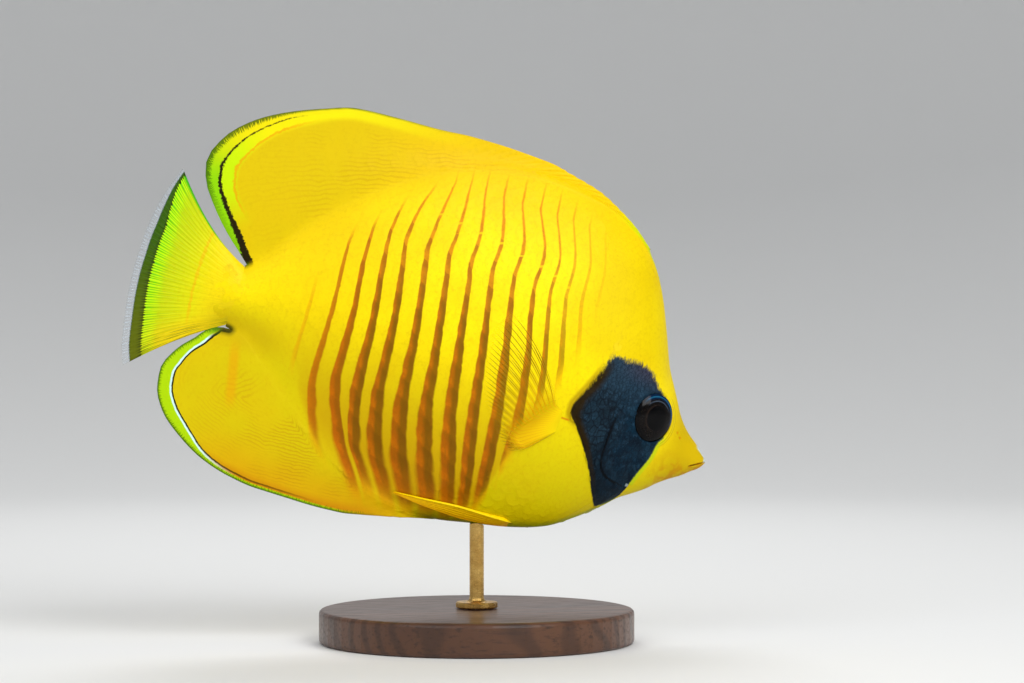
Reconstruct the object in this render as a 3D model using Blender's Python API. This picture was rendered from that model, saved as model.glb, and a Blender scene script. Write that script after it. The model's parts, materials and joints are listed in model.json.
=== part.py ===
"""A bluecheek butterflyfish, life size and swimming nose down, on a plain display stand.

The fish is drawn in its own frame, in millimetres: b is the distance behind the tip of
the snout, y is across (its right side is -y), and z is up from the level of the snout.
fish_to_world turns that frame nose down and sets it on the stand's rod, in metres.
"""
import math

import bmesh
import bpy
import numpy as np
from mathutils import Matrix, Vector

MM = 0.001
GAP = 0.3                    # between pieces that touch
NOSE_DOWN = math.radians(18)
TAIL_BASE = 167.0            # where the flesh ends and the tail fin begins
GILL_FLARE = 0.55            # how far the gill cover stands off the shoulder

# Outline of the flesh, without fins: (b, z). The back is the dorsal fin's base behind DORSAL_FRONT,
# and the belly is the anal fin's base behind ANAL_FRONT.
BACK = [(0, 0.5), (0.5, 1.2), (1.6, 2.3), (3.2, 3.8), (5.1, 5.2), (7.5, 6.9), (10.6, 9.8), (13, 12.9),
        (15, 16.3), (17.9, 21.0), (21.1, 26.3), (25.5, 36.5), (30.3, 47.2), (33.5, 53.0), (37.5, 58.6),
        (44.6, 65.0), (52.9, 68.9), (61, 71.2), (79, 72.6), (96.7, 70.6), (112.7, 65.3), (127.3, 56.4),
        (141, 45.0), (153.8, 31.0), (162.5, 18.4), (TAIL_BASE, 14.2)]
BELLY = [(0, -0.4), (0.5, -1.5), (1.8, -3.0), (3.8, -4.5), (6.7, -6.9), (10.4, -9.3), (14.1, -12.1),
         (17, -14.8), (21.3, -17.9), (25, -20.4), (29.8, -25.0), (36.9, -30.9), (45.7, -36.7),
         (57, -40.5), (70.2, -43.2), (83.4, -45.6), (90, -45.9), (98, -45.0), (108, -42.3),
         (121, -36.8), (138, -26.3), (151, -15.9), (160, -8.6), (TAIL_BASE, -6.6)]
# Half of the flesh's width, at its widest level.
HALF_WIDTH = [(0, 0.9), (0.6, 1.5), (1.5, 2.1), (3, 2.7), (6, 3.5), (10, 4.6), (14, 5.9), (18, 7.6),
              (24, 10.0), (30, 12.0), (38, 13.8), (50, 15.2), (62, 15.8), (75, 15.9), (90, 15.2),
              (105, 13.6), (120, 11.4), (135, 9.0), (150, 6.6), (160, 5.0), (TAIL_BASE, 3.9)]
WIDEST_LEVEL = [(0, 0.45), (12, 0.42), (24, 0.52), (50, 0.47), (90, 0.45), (TAIL_BASE, 0.5)]
BACK_EDGE = [(0, 0.35), (30, 0.45), (40, 0.9), (60, 1.9), (110, 2.1), (150, 1.7), (TAIL_BASE, 0.9)]
BELLY_EDGE = [(0, 0.35), (80, 0.6), (95, 1.2), (120, 1.9), (150, 1.5), (TAIL_BASE, 0.8)]
BACK_POWERS = (1.75, 0.72)   # a narrow, wedge-shaped back
BELLY_POWERS = (2.2, 0.5)    # a round belly

# The gill cover's rear edge, which parts the head from the trunk: (z, b).
GILL_EDGE = [(-34, 30.4), (-26, 32.4), (-22, 35.2), (-16.5, 38.2), (-12, 41.2), (-7, 44.6), (-2.8, 48.4),
             (1.5, 51.2), (5.5, 50.7), (12.5, 47.6), (22, 44.6), (33, 43.0), (45, 40.0), (58, 37.3), (66, 36.6)]
STALK_FRONT = 156.0          # the tail stalk's front face

EYE_CENTRE = (23.7, 8.2)
EYE_RADII = (7.35, 8.1)      # along the head, and up
EYE_FORWARD = math.radians(20)
EYE_SUNK = 0.5
CORNEA_HEIGHT = 2.2
EYE_DEPTH = 4.6
MOUTH_CORNER = (5.4, -2.95)
MOUTH_RISE = 0.72            # how steeply the mouth's line climbs forwards
LIP_SWELL = 0.32
CHEEK_STEP = [(-18, 29.0), (-15.2, 35.0), (-11, 37.0), (-4, 37.7), (2, 36.6), (8, 34.6), (14, 33.6)]
CHEEK_SWELL = 0.35           # how far the cheek stands off behind its bony edge
NOSTRILS = [(12.1, 2.7), (13.8, 4.1)]

DORSAL_FRONT, DORSAL_REAR = 38.6, 164.0
DORSAL_MARGIN = [(39.4, 61.6), (46.7, 67.3), (52.9, 70.8), (62.3, 74.9), (70, 76.6), (82, 78.5), (94.9, 78.7),
                 (108.3, 78.2), (119.8, 76.9), (133.6, 76.0), (147.7, 74.6), (159.5, 70.4), (171.5, 64.7),
                 (179.9, 58.9), (186.8, 50.7), (189.4, 43.0), (187.9, 37.0), (182.5, 29.3), (175, 21.2),
                 (170.4, 17.6), (166.8, 16.2)]
DORSAL_MATCH = [(0, 0), (0.174, 0.11), (0.4, 0.27), (0.6, 0.45), (0.8, 0.65), (1, 1)]
DORSAL_LEAN = [(0, 0.03), (0.1, 0.12), (0.25, 0.18), (0.4, 0.15), (0.6, 0.11), (0.8, 0.08), (0.95, 0.02), (1, 0)]
DORSAL_SPINES, DORSAL_RAYS = 12, 26

ANAL_FRONT, ANAL_REAR = 89.0, 159.0
ANAL_MARGIN = [(88.6, -47.2), (93.2, -48.5), (99.7, -50.0), (106.1, -51.5), (112.6, -52.8), (126.2, -53.5),
               (141.6, -53.5), (151.2, -52.4), (160.5, -49.9), (169.9, -45.1), (178.1, -38.6), (182, -31.7),
               (182.8, -25.2), (179.1, -19.0), (172.2, -12.2), (167.5, -9.7), (163.2, -9.1)]
ANAL_MATCH = [(0, 0), (0.25, 0.2), (0.5, 0.42), (0.75, 0.66), (1, 1)]
ANAL_LEAN = [(0, 0.03), (0.15, 0.12), (0.4, 0.12), (0.7, 0.08), (0.95, 0.02), (1, 0)]
ANAL_SPINES, ANAL_RAYS = 3, 21

TAIL_MARGIN = [(195.8, 37.7), (198.6, 29.1), (200.4, 20.0), (201.0, 11.5), (200.9, 3.0), (200.2, -5.2),
               (198.6, -14.8), (196.6, -22.3), (193.8, -27.6)]
TAIL_RAYS = 17
TAIL_BOW = (2.9, 0.2)        # how far the tail fin's upper and lower edges bow inwards

PECTORAL_ROOT = [(57.0, 1.2), (55.6, -3.0), (53.4, -6.6)]
PECTORAL_TIPS = [(80.0, 26.0), (82.6, 20.6), (83.3, 14.0), (82.4, 7.0), (80.0, 1.0), (76.4, -4.8),
                 (71.6, -9.8), (65.6, -12.6)]
PECTORAL_FLARE = math.radians(16)
PECTORAL_RAYS = 15
PELVIC_OUTER = [(57.0, -38.4), (66, -38.7), (76, -38.9), (88, -40.0), (98.4, -41.0)]
PELVIC_INNER = [(57.8, -40.3), (67, -42.0), (77, -42.9), (87, -42.6), (98.4, -41.5)]
PELVIC_STANDOFF = 1.1
PELVIC_RAYS = 6

ROD_PLACE = 68.0             # where the rod meets the belly, behind the snout
ROD_RADIUS = 2.4
ROD_FOOT_RADIUS = 7.0
ROD_FOOT_THICKNESS = 2.0
ROD_HEIGHT = 28.0            # from the top of the base to the belly
BASE_RADIUS = 52.0
BASE_THICKNESS = 11.0
BASE_BEVEL = 1.4

BODY_STATIONS = 52
BODY_AROUND = 18             # faces up each side
MEMBRANE = 0.27              # half the thickness of a fin between its rays
SPINE_CREST, RAY_CREST = 0.5, 0.34   # how far a spine and a soft ray stand off each face of the membrane
ROUND_SIDES = 32
SHARP_ANGLE = 32


class Curve:
    """A smooth curve through (x, y) knots that never overshoots them."""

    def __init__(self, knots):
        self.x, self.y = np.array(knots, float).T
        step = np.diff(self.x)
        rise = np.diff(self.y) / step
        slope = np.zeros(len(self.x))
        slope[0], slope[-1] = rise[0], rise[-1]
        for i in range(1, len(rise)):
            if rise[i - 1] * rise[i] > 0:
                before, after = 2 * step[i] + step[i - 1], step[i] + 2 * step[i - 1]
                slope[i] = (before + after) / (before / rise[i - 1] + after / rise[i])
        self.slope = slope

    def __call__(self, x):
        x = np.clip(x, self.x[0], self.x[-1])
        i = np.clip(np.searchsorted(self.x, x) - 1, 0, len(self.x) - 2)
        width = self.x[i + 1] - self.x[i]
        t = (x - self.x[i]) / width
        return ((1 + 2 * t) * (1 - t) ** 2 * self.y[i] + t * (1 - t) ** 2 * width * self.slope[i]
                + t * t * (3 - 2 * t) * self.y[i + 1] + t * t * (t - 1) * width * self.slope[i + 1])


class Path:
    """A smooth line through points of the plane, read by its share of the whole length."""

    def __init__(self, points):
        points = np.array(points, float)
        chord = np.concatenate([[0], np.cumsum(np.linalg.norm(np.diff(points, axis=0), axis=1))])
        along = [Curve(list(zip(chord, column))) for column in points.T]
        fine = np.linspace(0, chord[-1], 40 * len(points))
        self.fine = np.stack([c(fine) for c in along], axis=1)
        length = np.concatenate([[0], np.cumsum(np.linalg.norm(np.diff(self.fine, axis=0), axis=1))])
        self.share = length / length[-1]

    def __call__(self, share):
        return np.array([np.interp(share, self.share, column) for column in self.fine.T])


back, belly, widest = Curve(BACK), Curve(BELLY), Curve(WIDEST_LEVEL)
half_width, back_edge, belly_edge = Curve(HALF_WIDTH), Curve(BACK_EDGE), Curve(BELLY_EDGE)
gill_edge, cheek_edge = Curve(GILL_EDGE), Curve(CHEEK_STEP)


def ease(x, low, high):
    """0 below low, 1 above high, and smooth between."""
    t = np.clip((x - low) / (high - low), 0, 1)
    return t * t * (3 - 2 * t)


def flank(b, z, grow=0.0):
    """Half of the flesh's width at (b, z)."""
    low, high = belly(b) - grow, back(b) + grow
    t = np.clip((z - low) / (high - low), 0, 1)
    mid = widest(b)
    if t > mid:
        off, (power, root) = (t - mid) / (1 - mid), BACK_POWERS
    else:
        off, (power, root) = (mid - t) / mid, BELLY_POWERS
    body = half_width(b) * max(0.0, 1 - off ** power) ** root
    edge = belly_edge(b) + (back_edge(b) - belly_edge(b)) * ease(t, 0, 1)
    return math.hypot(body, edge) + grow


def face_relief(b, z):
    """How far the lips, the cheek and the gill cover stand off the head."""
    ahead = gill_edge(z) - b
    cover = GILL_FLARE * ease(-ahead, -11, 0) * ease(z, -27, -15) * (1 - ease(z, 18, 34))
    before = cheek_edge(z) - b
    cheek = CHEEK_SWELL * ease(-before, -9, -0.4) * (1 - ease(-before, -0.4, 1.2))
    cheek *= ease(z, -19, -14) * (1 - ease(z, 6, 14))
    line = MOUTH_CORNER[1] + (MOUTH_CORNER[0] - b) * MOUTH_RISE
    lips = LIP_SWELL * math.exp(-((z - line) / 1.1) ** 2) * (1 - ease(b, 4.2, 6.6))
    return cover + cheek + lips


def fish_to_world(b, y, z):
    """The fish's frame in millimetres to the row frame in metres."""
    forward, up = ROD_PLACE - b, z - belly(ROD_PLACE)
    c, s = math.cos(NOSE_DOWN), math.sin(NOSE_DOWN)
    height = BASE_THICKNESS + ROD_HEIGHT
    return Vector((forward * c + up * s, y, -forward * s + up * c + height)) * MM


def material(name, colour, roughness, metallic=0.0):
    made = bpy.data.materials.new(name)
    made.use_nodes = True
    shader = made.node_tree.nodes["Principled BSDF"]
    shader.inputs["Base Color"].default_value = (*colour, 1)
    shader.inputs["Roughness"].default_value = roughness
    shader.inputs["Metallic"].default_value = metallic
    return made


def finish(bm, name, finish_material=None, smooth=True):
    """Turns a bmesh into a named object of triangles with its faces outwards."""
    bmesh.ops.recalc_face_normals(bm, faces=bm.faces)
    bmesh.ops.triangulate(bm, faces=bm.faces)
    mesh = bpy.data.meshes.new(name)
    bm.to_mesh(mesh)
    bm.free()
    if smooth:
        mesh.shade_smooth()
        mesh.set_sharp_from_angle(angle=math.radians(SHARP_ANGLE))
    piece = bpy.data.objects.new(name, mesh)
    bpy.context.scene.collection.objects.link(piece)
    if finish_material:
        mesh.materials.append(finish_material)
    return piece


def boolean(piece, operation, other):
    """Applies one Boolean to piece and removes the other object."""
    bpy.context.view_layer.objects.active = piece
    cut = piece.modifiers.new("cut", "BOOLEAN")
    cut.operation = operation
    cut.solver = "EXACT"
    cut.object = other
    bpy.ops.object.modifier_apply(modifier=cut.name)
    bpy.data.objects.remove(other)
    return piece


def dress(piece, finish_material):
    """Gives a cut piece its one material, and keeps the new edges crisp."""
    piece.data.materials.clear()
    piece.data.materials.append(finish_material)
    piece.data.set_sharp_from_angle(angle=math.radians(SHARP_ANGLE))


def rings_to_solid(bm, rings):
    """Skins closed rings of points with quads and caps both ends."""
    rows = [[bm.verts.new(p) for p in ring] for ring in rings]
    count = len(rows[0])
    for near, far in zip(rows, rows[1:]):
        for i in range(count):
            j = (i + 1) % count
            bm.faces.new((near[i], near[j], far[j], far[i]))
    bm.faces.new(rows[0])
    bm.faces.new(rows[-1])


def body_ring(b, flare, grow):
    """One cross-section of the flesh, from the belly up the right side and down the left."""
    low, high, mid = belly(b) - grow, back(b) + grow, widest(b)
    right = []
    for i in range(BODY_AROUND + 1):
        turn = -math.cos(math.pi * i / BODY_AROUND)
        t = mid * (1 + turn) if turn < 0 else mid + (1 - mid) * turn
        z = low + (high - low) * t
        right.append((flank(b, z, grow) + (face_relief(b, z) if flare else 0), z))
    around = [(-y, z) for y, z in right] + [(y, z) for y, z in reversed(right)]
    return [fish_to_world(b, y, z) for y, z in around]


def body(name, flare=False, grow=0.0, stations=BODY_STATIONS):
    """The whole of the flesh as one solid, from the lips to the tail fin's base."""
    bm = bmesh.new()
    places = [TAIL_BASE * (i / stations) ** 1.45 for i in range(stations + 1)]
    rings_to_solid(bm, [body_ring(b, flare, grow) for b in places])
    return finish(bm, name)


def prism(name, outline, half):
    """A plate through the whole fish with a side-view outline of (b, z) points."""
    bm = bmesh.new()
    face = bm.faces.new([bm.verts.new(fish_to_world(b, -half, z)) for b, z in outline])
    out = bmesh.ops.extrude_face_region(bm, geom=[face])["geom"]
    moved = [v for v in out if isinstance(v, bmesh.types.BMVert)]
    bmesh.ops.translate(bm, vec=(0, 2 * half * MM, 0), verts=moved)
    return finish(bm, name)


def gill_plate(name, shift):
    """Everything ahead of the gill cover's rear edge, moved back by shift."""
    levels = np.linspace(-60, 90, 76)
    edge = [(gill_edge(z) + shift, z) for z in levels]
    return prism(name, [(-20, -60), *edge, (-20, 90)], 30)


def eye_axis(side):
    """The eye's centre on the head, and its axes: along the head, up and out."""
    b, z = EYE_CENTRE
    y = side * (flank(b, z) - EYE_SUNK)
    centre = fish_to_world(b, y, z)
    tail = fish_to_world(b + math.cos(EYE_FORWARD), y + side * math.sin(EYE_FORWARD), z) - centre
    up = fish_to_world(b, y, z + 1) - centre
    tail.normalize()
    up.normalize()
    out = tail.cross(up)
    if out.y * side < 0:
        out.negate()
    return centre, tail, up, out


def eye_solid(name, side, grow, finish_material=None):
    """A domed plug, turned round the eye's axis."""
    dome = [(math.sin(a) / math.sin(1.0), (math.cos(a) - math.cos(1.0)) / (1 - math.cos(1.0)))
            for a in np.linspace(0.2, 1.0, 5)]
    profile = [(r, h * CORNEA_HEIGHT) for r, h in dome]
    profile += [(0.985, -0.6), (0.93, -3.0), (0.7, -EYE_DEPTH)]
    centre, tail, up, out = eye_axis(side)
    rings = []
    for share, height in profile:
        rise = height + (grow if height > 0 else 0) - (grow if height <= -EYE_DEPTH else 0)
        ring = []
        for i in range(24):
            a = 2 * math.pi * i / 24
            along = math.cos(a) * (EYE_RADII[0] * share + grow)
            over = math.sin(a) * (EYE_RADII[1] * share + grow)
            ring.append(centre + (tail * along + up * over + out * rise) * MM)
        rings.append(ring)
    bm = bmesh.new()
    rings_to_solid(bm, rings)
    return finish(bm, name, finish_material)


def nostril_pit(name, b, z, side):
    """A short tapered pit into the snout."""
    y = flank(b, z)
    slope = (flank(b + 1, z) - flank(b - 1, z)) / 2
    outward = (fish_to_world(b - slope, side * (y + 1), z) - fish_to_world(b, side * y, z)).normalized()
    bm = bmesh.new()
    bmesh.ops.create_cone(bm, cap_ends=True, segments=10, radius1=0.35 * MM, radius2=0.75 * MM, depth=1.8 * MM)
    turn = outward.to_track_quat("Z", "Y").to_matrix().to_4x4()
    bm.transform(Matrix.Translation(fish_to_world(b, side * y, z)) @ turn)
    return finish(bm, name)


def mouth_slit():
    """The line between the lips, from the front of the snout to the corner of the mouth."""
    b, z = MOUTH_CORNER
    rise = (b + 3) * MOUTH_RISE
    return prism("mouth_slit", [(-3, z + rise + 0.3), (b, z + 0.12), (b, z - 0.12), (-3, z + rise - 0.3)], 8)


def make_head(skin):
    head = body("head", flare=True)
    boolean(head, "INTERSECT", gill_plate("head_side", 0))
    for side, word in ((-1, "right"), (1, "left")):
        boolean(head, "DIFFERENCE", eye_solid("socket_" + word, side, GAP))
        for i, (b, z) in enumerate(NOSTRILS):
            boolean(head, "DIFFERENCE", nostril_pit(f"nostril_{word}_{i}", b, z, side))
    boolean(head, "DIFFERENCE", mouth_slit())
    dress(head, skin)


def make_trunk_and_stalk(skin):
    stalk = body("tail_stalk")
    behind = [(STALK_FRONT, -60), (TAIL_BASE + 20, -60), (TAIL_BASE + 20, 90), (STALK_FRONT, 90)]
    boolean(stalk, "INTERSECT", prism("stalk_side", behind, 30))
    trunk = body("trunk")
    boolean(trunk, "DIFFERENCE", gill_plate("trunk_side", GAP))
    ahead = [(STALK_FRONT - GAP, -60), (TAIL_BASE + 20, -60), (TAIL_BASE + 20, 90), (STALK_FRONT - GAP, 90)]
    boolean(trunk, "DIFFERENCE", prism("trunk_rear", ahead, 30))
    for piece in (stalk, trunk):
        dress(piece, skin)


def slab(name, front, rear, finish_material):
    """A thin closed sheet between two grids of points, split into triangles alike on both faces."""
    bm = bmesh.new()
    faces = [[[bm.verts.new(p) for p in column] for column in grid] for grid in (front, rear)]
    near, far = faces
    columns, rows = len(near), len(near[0])
    for i in range(columns - 1):
        for j in range(rows - 1):
            for grid, turn in ((near, 1), (far, -1)):
                a, b, c, d = grid[i][j], grid[i + 1][j], grid[i + 1][j + 1], grid[i][j + 1]
                for corners in ((a, b, c), (a, c, d)):
                    bm.faces.new(corners[::turn])
    rim = [(i, 0) for i in range(columns - 1)] + [(columns - 1, j) for j in range(rows - 1)]
    rim += [(i, rows - 1) for i in range(columns - 1, 0, -1)] + [(0, j) for j in range(rows - 1, 0, -1)]
    for (i, j), (k, m) in zip(rim, rim[1:] + rim[:1]):
        bm.faces.new((near[i][j], far[i][j], far[k][m], near[k][m]))
    return finish(bm, name, finish_material)


def flat_slab(name, place, half, columns, rows, finish_material):
    """A fin in the fish's middle plane. place gives (b, z) and half its half-thickness."""
    spots = [[place(s, v) for v in rows] for s in columns]
    sides = []
    for side in (-1, 1):
        sides.append([[fish_to_world(b, side * half(s, v, b), z)
                       for v, (b, z) in zip(rows, line)] for s, line in zip(columns, spots)])
    return slab(name, *sides, finish_material)


def base_line(edge, front, rear, side):
    """A fin's root, just clear of the flesh along the back or the belly."""
    places = np.linspace(front, rear, 60)
    slope = (edge(places + 0.5) - edge(places - 0.5))
    away = GAP * side / np.hypot(1, slope)
    return Path(list(zip(places - slope * away, edge(places) + away)))


def ray_ridge(s, rays):
    """1 on a ray and 0 midway between two."""
    return 0.5 + 0.5 * math.cos(2 * math.pi * (s * rays - 0.5))


def make_back_fin(name, edge, ridge, front, rear, side, margin, match, lean, spines, rays, finish_material):
    """The dorsal or the anal fin: spines that lie back, then soft rays that spread."""
    root, rim = base_line(edge, front, rear, side), Path(margin)
    matched, leaning = Curve(match), Curve(lean)
    count = spines + rays
    columns = [i / (2 * count) for i in range(2 * count + 1)]
    rows = [0, 0.16, 0.36, 0.58, 0.8, 1]

    def place(s, v):
        share = min(1.0, s + v * leaning(s))
        near, far = root(share), rim(matched(share))
        notch = 0.05 * (1 - ray_ridge(s, count)) * (v > 0.99) * (s < spines / count)
        return near + (far - near) * (v - notch)

    def half(s, v, b):
        thick = ridge(b) * (1 - v) ** 1.5
        crest = SPINE_CREST if s < spines / count else RAY_CREST
        return max(MEMBRANE, thick) + crest * ray_ridge(s, count) * ease(v, 0.05, 0.45) * (1.2 - 0.6 * v)

    return flat_slab(name, place, half, columns, rows, finish_material)


def make_tail_fin(finish_material):
    """The tail fin: rays that fan out from the stalk, each forked once, bowed at the corners."""
    rim = Path(TAIL_MARGIN)
    top, foot = back(TAIL_BASE) - 0.3, belly(TAIL_BASE) + 0.3
    front = TAIL_BASE + GAP
    columns = [i / (4 * TAIL_RAYS) for i in range(4 * TAIL_RAYS + 1)]
    rows = [0, 0.12, 0.28, 0.48, 0.66, 0.84, 1]

    def place(s, v):
        near = np.array([front, top + (foot - top) * s])
        far = rim(s)
        bow = -TAIL_BOW[0] if s < 0.5 else TAIL_BOW[1]
        return near + (far - near) * v + (0, bow * (2 * s - 1) ** 2 * 4 * v * (1 - v))

    def half(s, v, b):
        stalk = flank(TAIL_BASE, top + (foot - top) * s) * (1 - v) ** 3.2
        single, forked = ray_ridge(s, TAIL_RAYS), ray_ridge(s, 2 * TAIL_RAYS)
        ray = single + (forked - single) * ease(v, 0.3, 0.6)
        return max(MEMBRANE, stalk) + RAY_CREST * ray * ease(v, 0.05, 0.3) * (1.1 - 0.5 * v)

    return flat_slab("tail_fin", place, half, columns, rows, finish_material)


def sheet_slab(name, place, half, columns, rows, side, finish_material):
    """A paired fin. place gives (b, y, z) of its middle sheet on the right; the left is its mirror."""
    spots = np.array([[place(s, v) for v in rows] for s in columns])
    along = np.gradient(spots, axis=1)
    across = np.gradient(spots, axis=0)
    normal = np.cross(along, across)
    normal /= np.linalg.norm(normal, axis=2, keepdims=True)
    thick = np.array([[half(s, v) for v in rows] for s in columns])[..., None]
    sides = []
    for offset in (-1, 1):
        grid = spots + normal * thick * offset
        sides.append([[fish_to_world(b, y * -side, z) for b, y, z in line] for line in grid])
    return slab(name, *sides, finish_material)


def make_pectoral(side, word, finish_material):
    """The breast fin: a fan on a fleshy root, standing a little off the flank."""
    root, tips = Path(PECTORAL_ROOT), Path(PECTORAL_TIPS)
    columns = [i / (2 * PECTORAL_RAYS) for i in range(2 * PECTORAL_RAYS + 1)]
    rows = [-0.07, 0.04, 0.14, 0.34, 0.56, 0.78, 1]

    def place(s, v):
        near, far = root(s), tips(s)
        b, z = near + (far - near) * v
        length = np.linalg.norm(far - near)
        out = flank(*near) + 0.5 + length * v * math.tan(PECTORAL_FLARE) * (1 - 0.25 * v)
        return b, -out, z

    def half(s, v):
        fleshy = 1.0 * (1 - ease(v, 0.0, 0.3))
        return max(MEMBRANE, fleshy) + 0.17 * ray_ridge(s, PECTORAL_RAYS) * ease(v, 0.1, 0.3)

    fin = sheet_slab("pectoral_fin_" + word, place, half, columns, rows, side, finish_material)
    return boolean(fin, "DIFFERENCE", body("clearance", grow=GAP))


def make_pelvic(side, word, finish_material):
    """The belly fin, folded back along the belly."""
    outer, inner = Path(PELVIC_OUTER), Path(PELVIC_INNER)
    columns = [i / (2 * PELVIC_RAYS) for i in range(2 * PELVIC_RAYS + 1)]
    rows = [0, 0.05, 0.15, 0.35, 0.6, 0.85, 1]

    def place(s, v):
        b, z = outer(v) + (inner(v) - outer(v)) * s
        away = PELVIC_STANDOFF * ease(v, 0.02, 0.12) - 1.3 * (1 - ease(v, 0.0, 0.1))
        return b, -(flank(b, z) + away), z

    def half(s, v):
        return 0.85 - 0.5 * ease(v, 0.0, 0.5) + 0.18 * ray_ridge(s, PELVIC_RAYS) * ease(v, 0.1, 0.3)

    fin = sheet_slab("pelvic_fin_" + word, place, half, columns, rows, side, finish_material)
    return boolean(fin, "DIFFERENCE", body("clearance", grow=GAP))


def make_stand(wood, metal):
    """A round wooden base and one turned rod with a small foot, cut to the belly's shape."""
    bm = bmesh.new()
    base_height = BASE_THICKNESS * MM
    bmesh.ops.create_cone(bm, cap_ends=True, segments=2 * ROUND_SIDES, radius1=BASE_RADIUS * MM,
                          radius2=BASE_RADIUS * MM, depth=base_height)
    bmesh.ops.translate(bm, vec=(0, 0, base_height / 2), verts=bm.verts)
    edges = [e for e in bm.edges if len(e.link_faces) == 2 and e.calc_face_angle() > 1]
    bmesh.ops.bevel(bm, geom=edges, offset=BASE_BEVEL * MM, segments=3, profile=0.5, affect="EDGES", material=-1)
    finish(bm, "stand_base", wood)

    foot, top = BASE_THICKNESS + GAP, BASE_THICKNESS + ROD_HEIGHT + 3
    profile = [(ROD_FOOT_RADIUS - 0.4, foot), (ROD_FOOT_RADIUS, foot + 0.4),
               (ROD_FOOT_RADIUS, foot + ROD_FOOT_THICKNESS - 0.4), (ROD_FOOT_RADIUS - 0.4, foot + ROD_FOOT_THICKNESS)]
    profile += [(ROD_RADIUS + 1.6 * (1 - math.sin(a)), foot + ROD_FOOT_THICKNESS + 1.6 * (1 - math.cos(a)))
                for a in np.linspace(0.1, math.pi / 2, 5)]
    profile += [(ROD_RADIUS, top)]
    rings = [[Vector((r * math.cos(a), r * math.sin(a), h)) * MM
              for a in np.linspace(0, 2 * math.pi, ROUND_SIDES // 2, endpoint=False)] for r, h in profile]
    bm = bmesh.new()
    rings_to_solid(bm, rings)
    rod = finish(bm, "stand_rod", metal)
    boolean(rod, "DIFFERENCE", body("clearance", grow=GAP))


def main():
    for thing in list(bpy.data.objects):
        bpy.data.objects.remove(thing)
    skin = material("yellow_skin", (0.95, 0.72, 0.0), 0.4)
    fin = material("fin_yellow", (0.85, 0.68, 0.02), 0.45)
    eye = material("eye_black", (0.01, 0.01, 0.015), 0.08)
    wood = material("dark_wood", (0.11, 0.05, 0.025), 0.4)
    metal = material("rod_brass", (0.65, 0.48, 0.2), 0.3, 1.0)

    make_head(skin)
    make_trunk_and_stalk(skin)
    for side, word in ((-1, "right"), (1, "left")):
        eye_solid("eye_" + word, side, 0.0, eye)
        make_pectoral(side, word, fin)
        make_pelvic(side, word, fin)
    make_back_fin("dorsal_fin", back, back_edge, DORSAL_FRONT, DORSAL_REAR, 1, DORSAL_MARGIN, DORSAL_MATCH,
                  DORSAL_LEAN, DORSAL_SPINES, DORSAL_RAYS, fin)
    make_back_fin("anal_fin", belly, belly_edge, ANAL_FRONT, ANAL_REAR, -1, ANAL_MARGIN, ANAL_MATCH,
                  ANAL_LEAN, ANAL_SPINES, ANAL_RAYS, fin)
    make_tail_fin(fin)
    make_stand(wood, metal)


main()
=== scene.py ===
import json
import math

import bmesh
import bpy
import numpy as np
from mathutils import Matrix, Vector
from mathutils.bvhtree import BVHTree

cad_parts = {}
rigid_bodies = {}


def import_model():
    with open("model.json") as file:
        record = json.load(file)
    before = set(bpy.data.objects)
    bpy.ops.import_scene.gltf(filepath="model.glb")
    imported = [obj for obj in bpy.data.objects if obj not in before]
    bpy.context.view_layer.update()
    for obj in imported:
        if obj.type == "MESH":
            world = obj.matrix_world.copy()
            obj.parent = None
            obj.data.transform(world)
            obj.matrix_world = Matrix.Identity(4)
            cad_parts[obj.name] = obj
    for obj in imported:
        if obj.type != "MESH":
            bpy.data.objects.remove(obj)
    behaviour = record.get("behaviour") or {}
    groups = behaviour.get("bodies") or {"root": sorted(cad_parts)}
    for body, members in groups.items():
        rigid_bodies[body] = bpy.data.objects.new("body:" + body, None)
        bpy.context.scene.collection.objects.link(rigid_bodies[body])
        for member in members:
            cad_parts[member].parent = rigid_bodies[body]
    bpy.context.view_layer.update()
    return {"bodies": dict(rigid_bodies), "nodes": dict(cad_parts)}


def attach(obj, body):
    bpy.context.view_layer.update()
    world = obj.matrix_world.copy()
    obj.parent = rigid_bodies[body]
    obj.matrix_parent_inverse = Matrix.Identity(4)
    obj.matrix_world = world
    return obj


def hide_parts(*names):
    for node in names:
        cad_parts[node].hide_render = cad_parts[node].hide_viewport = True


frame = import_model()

# The fish is drawn in its own frame, in millimetres: b behind the tip of the snout, y across
# (its right side is -y), z up from the level of the snout. to_world turns it nose down.
MM = 0.001
NOSE_DOWN = math.radians(18)
ROD_PLACE, BASE_THICKNESS, ROD_HEIGHT = 68.0, 11.0, 28.0
TAIL_BASE = 167.0
GILL_FLARE = 0.55
COAT = 0.1                   # how far the skin lies inside the solids, under its scales

BACK = [(0, 0.5), (0.5, 1.2), (1.6, 2.3), (3.2, 3.8), (5.1, 5.2), (7.5, 6.9), (10.6, 9.8), (13, 12.9),
        (15, 16.3), (17.9, 21.0), (21.1, 26.3), (25.5, 36.5), (30.3, 47.2), (33.5, 53.0), (37.5, 58.6),
        (44.6, 65.0), (52.9, 68.9), (61, 71.2), (79, 72.6), (96.7, 70.6), (112.7, 65.3), (127.3, 56.4),
        (141, 45.0), (153.8, 31.0), (162.5, 18.4), (TAIL_BASE, 14.2)]
BELLY = [(0, -0.4), (0.5, -1.5), (1.8, -3.0), (3.8, -4.5), (6.7, -6.9), (10.4, -9.3), (14.1, -12.1),
         (17, -14.8), (21.3, -17.9), (25, -20.4), (29.8, -25.0), (36.9, -30.9), (45.7, -36.7),
         (57, -40.5), (70.2, -43.2), (83.4, -45.6), (90, -45.9), (98, -45.0), (108, -42.3), (121, -36.8),
         (138, -26.3), (151, -15.9), (160, -8.6), (TAIL_BASE, -6.6)]
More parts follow.
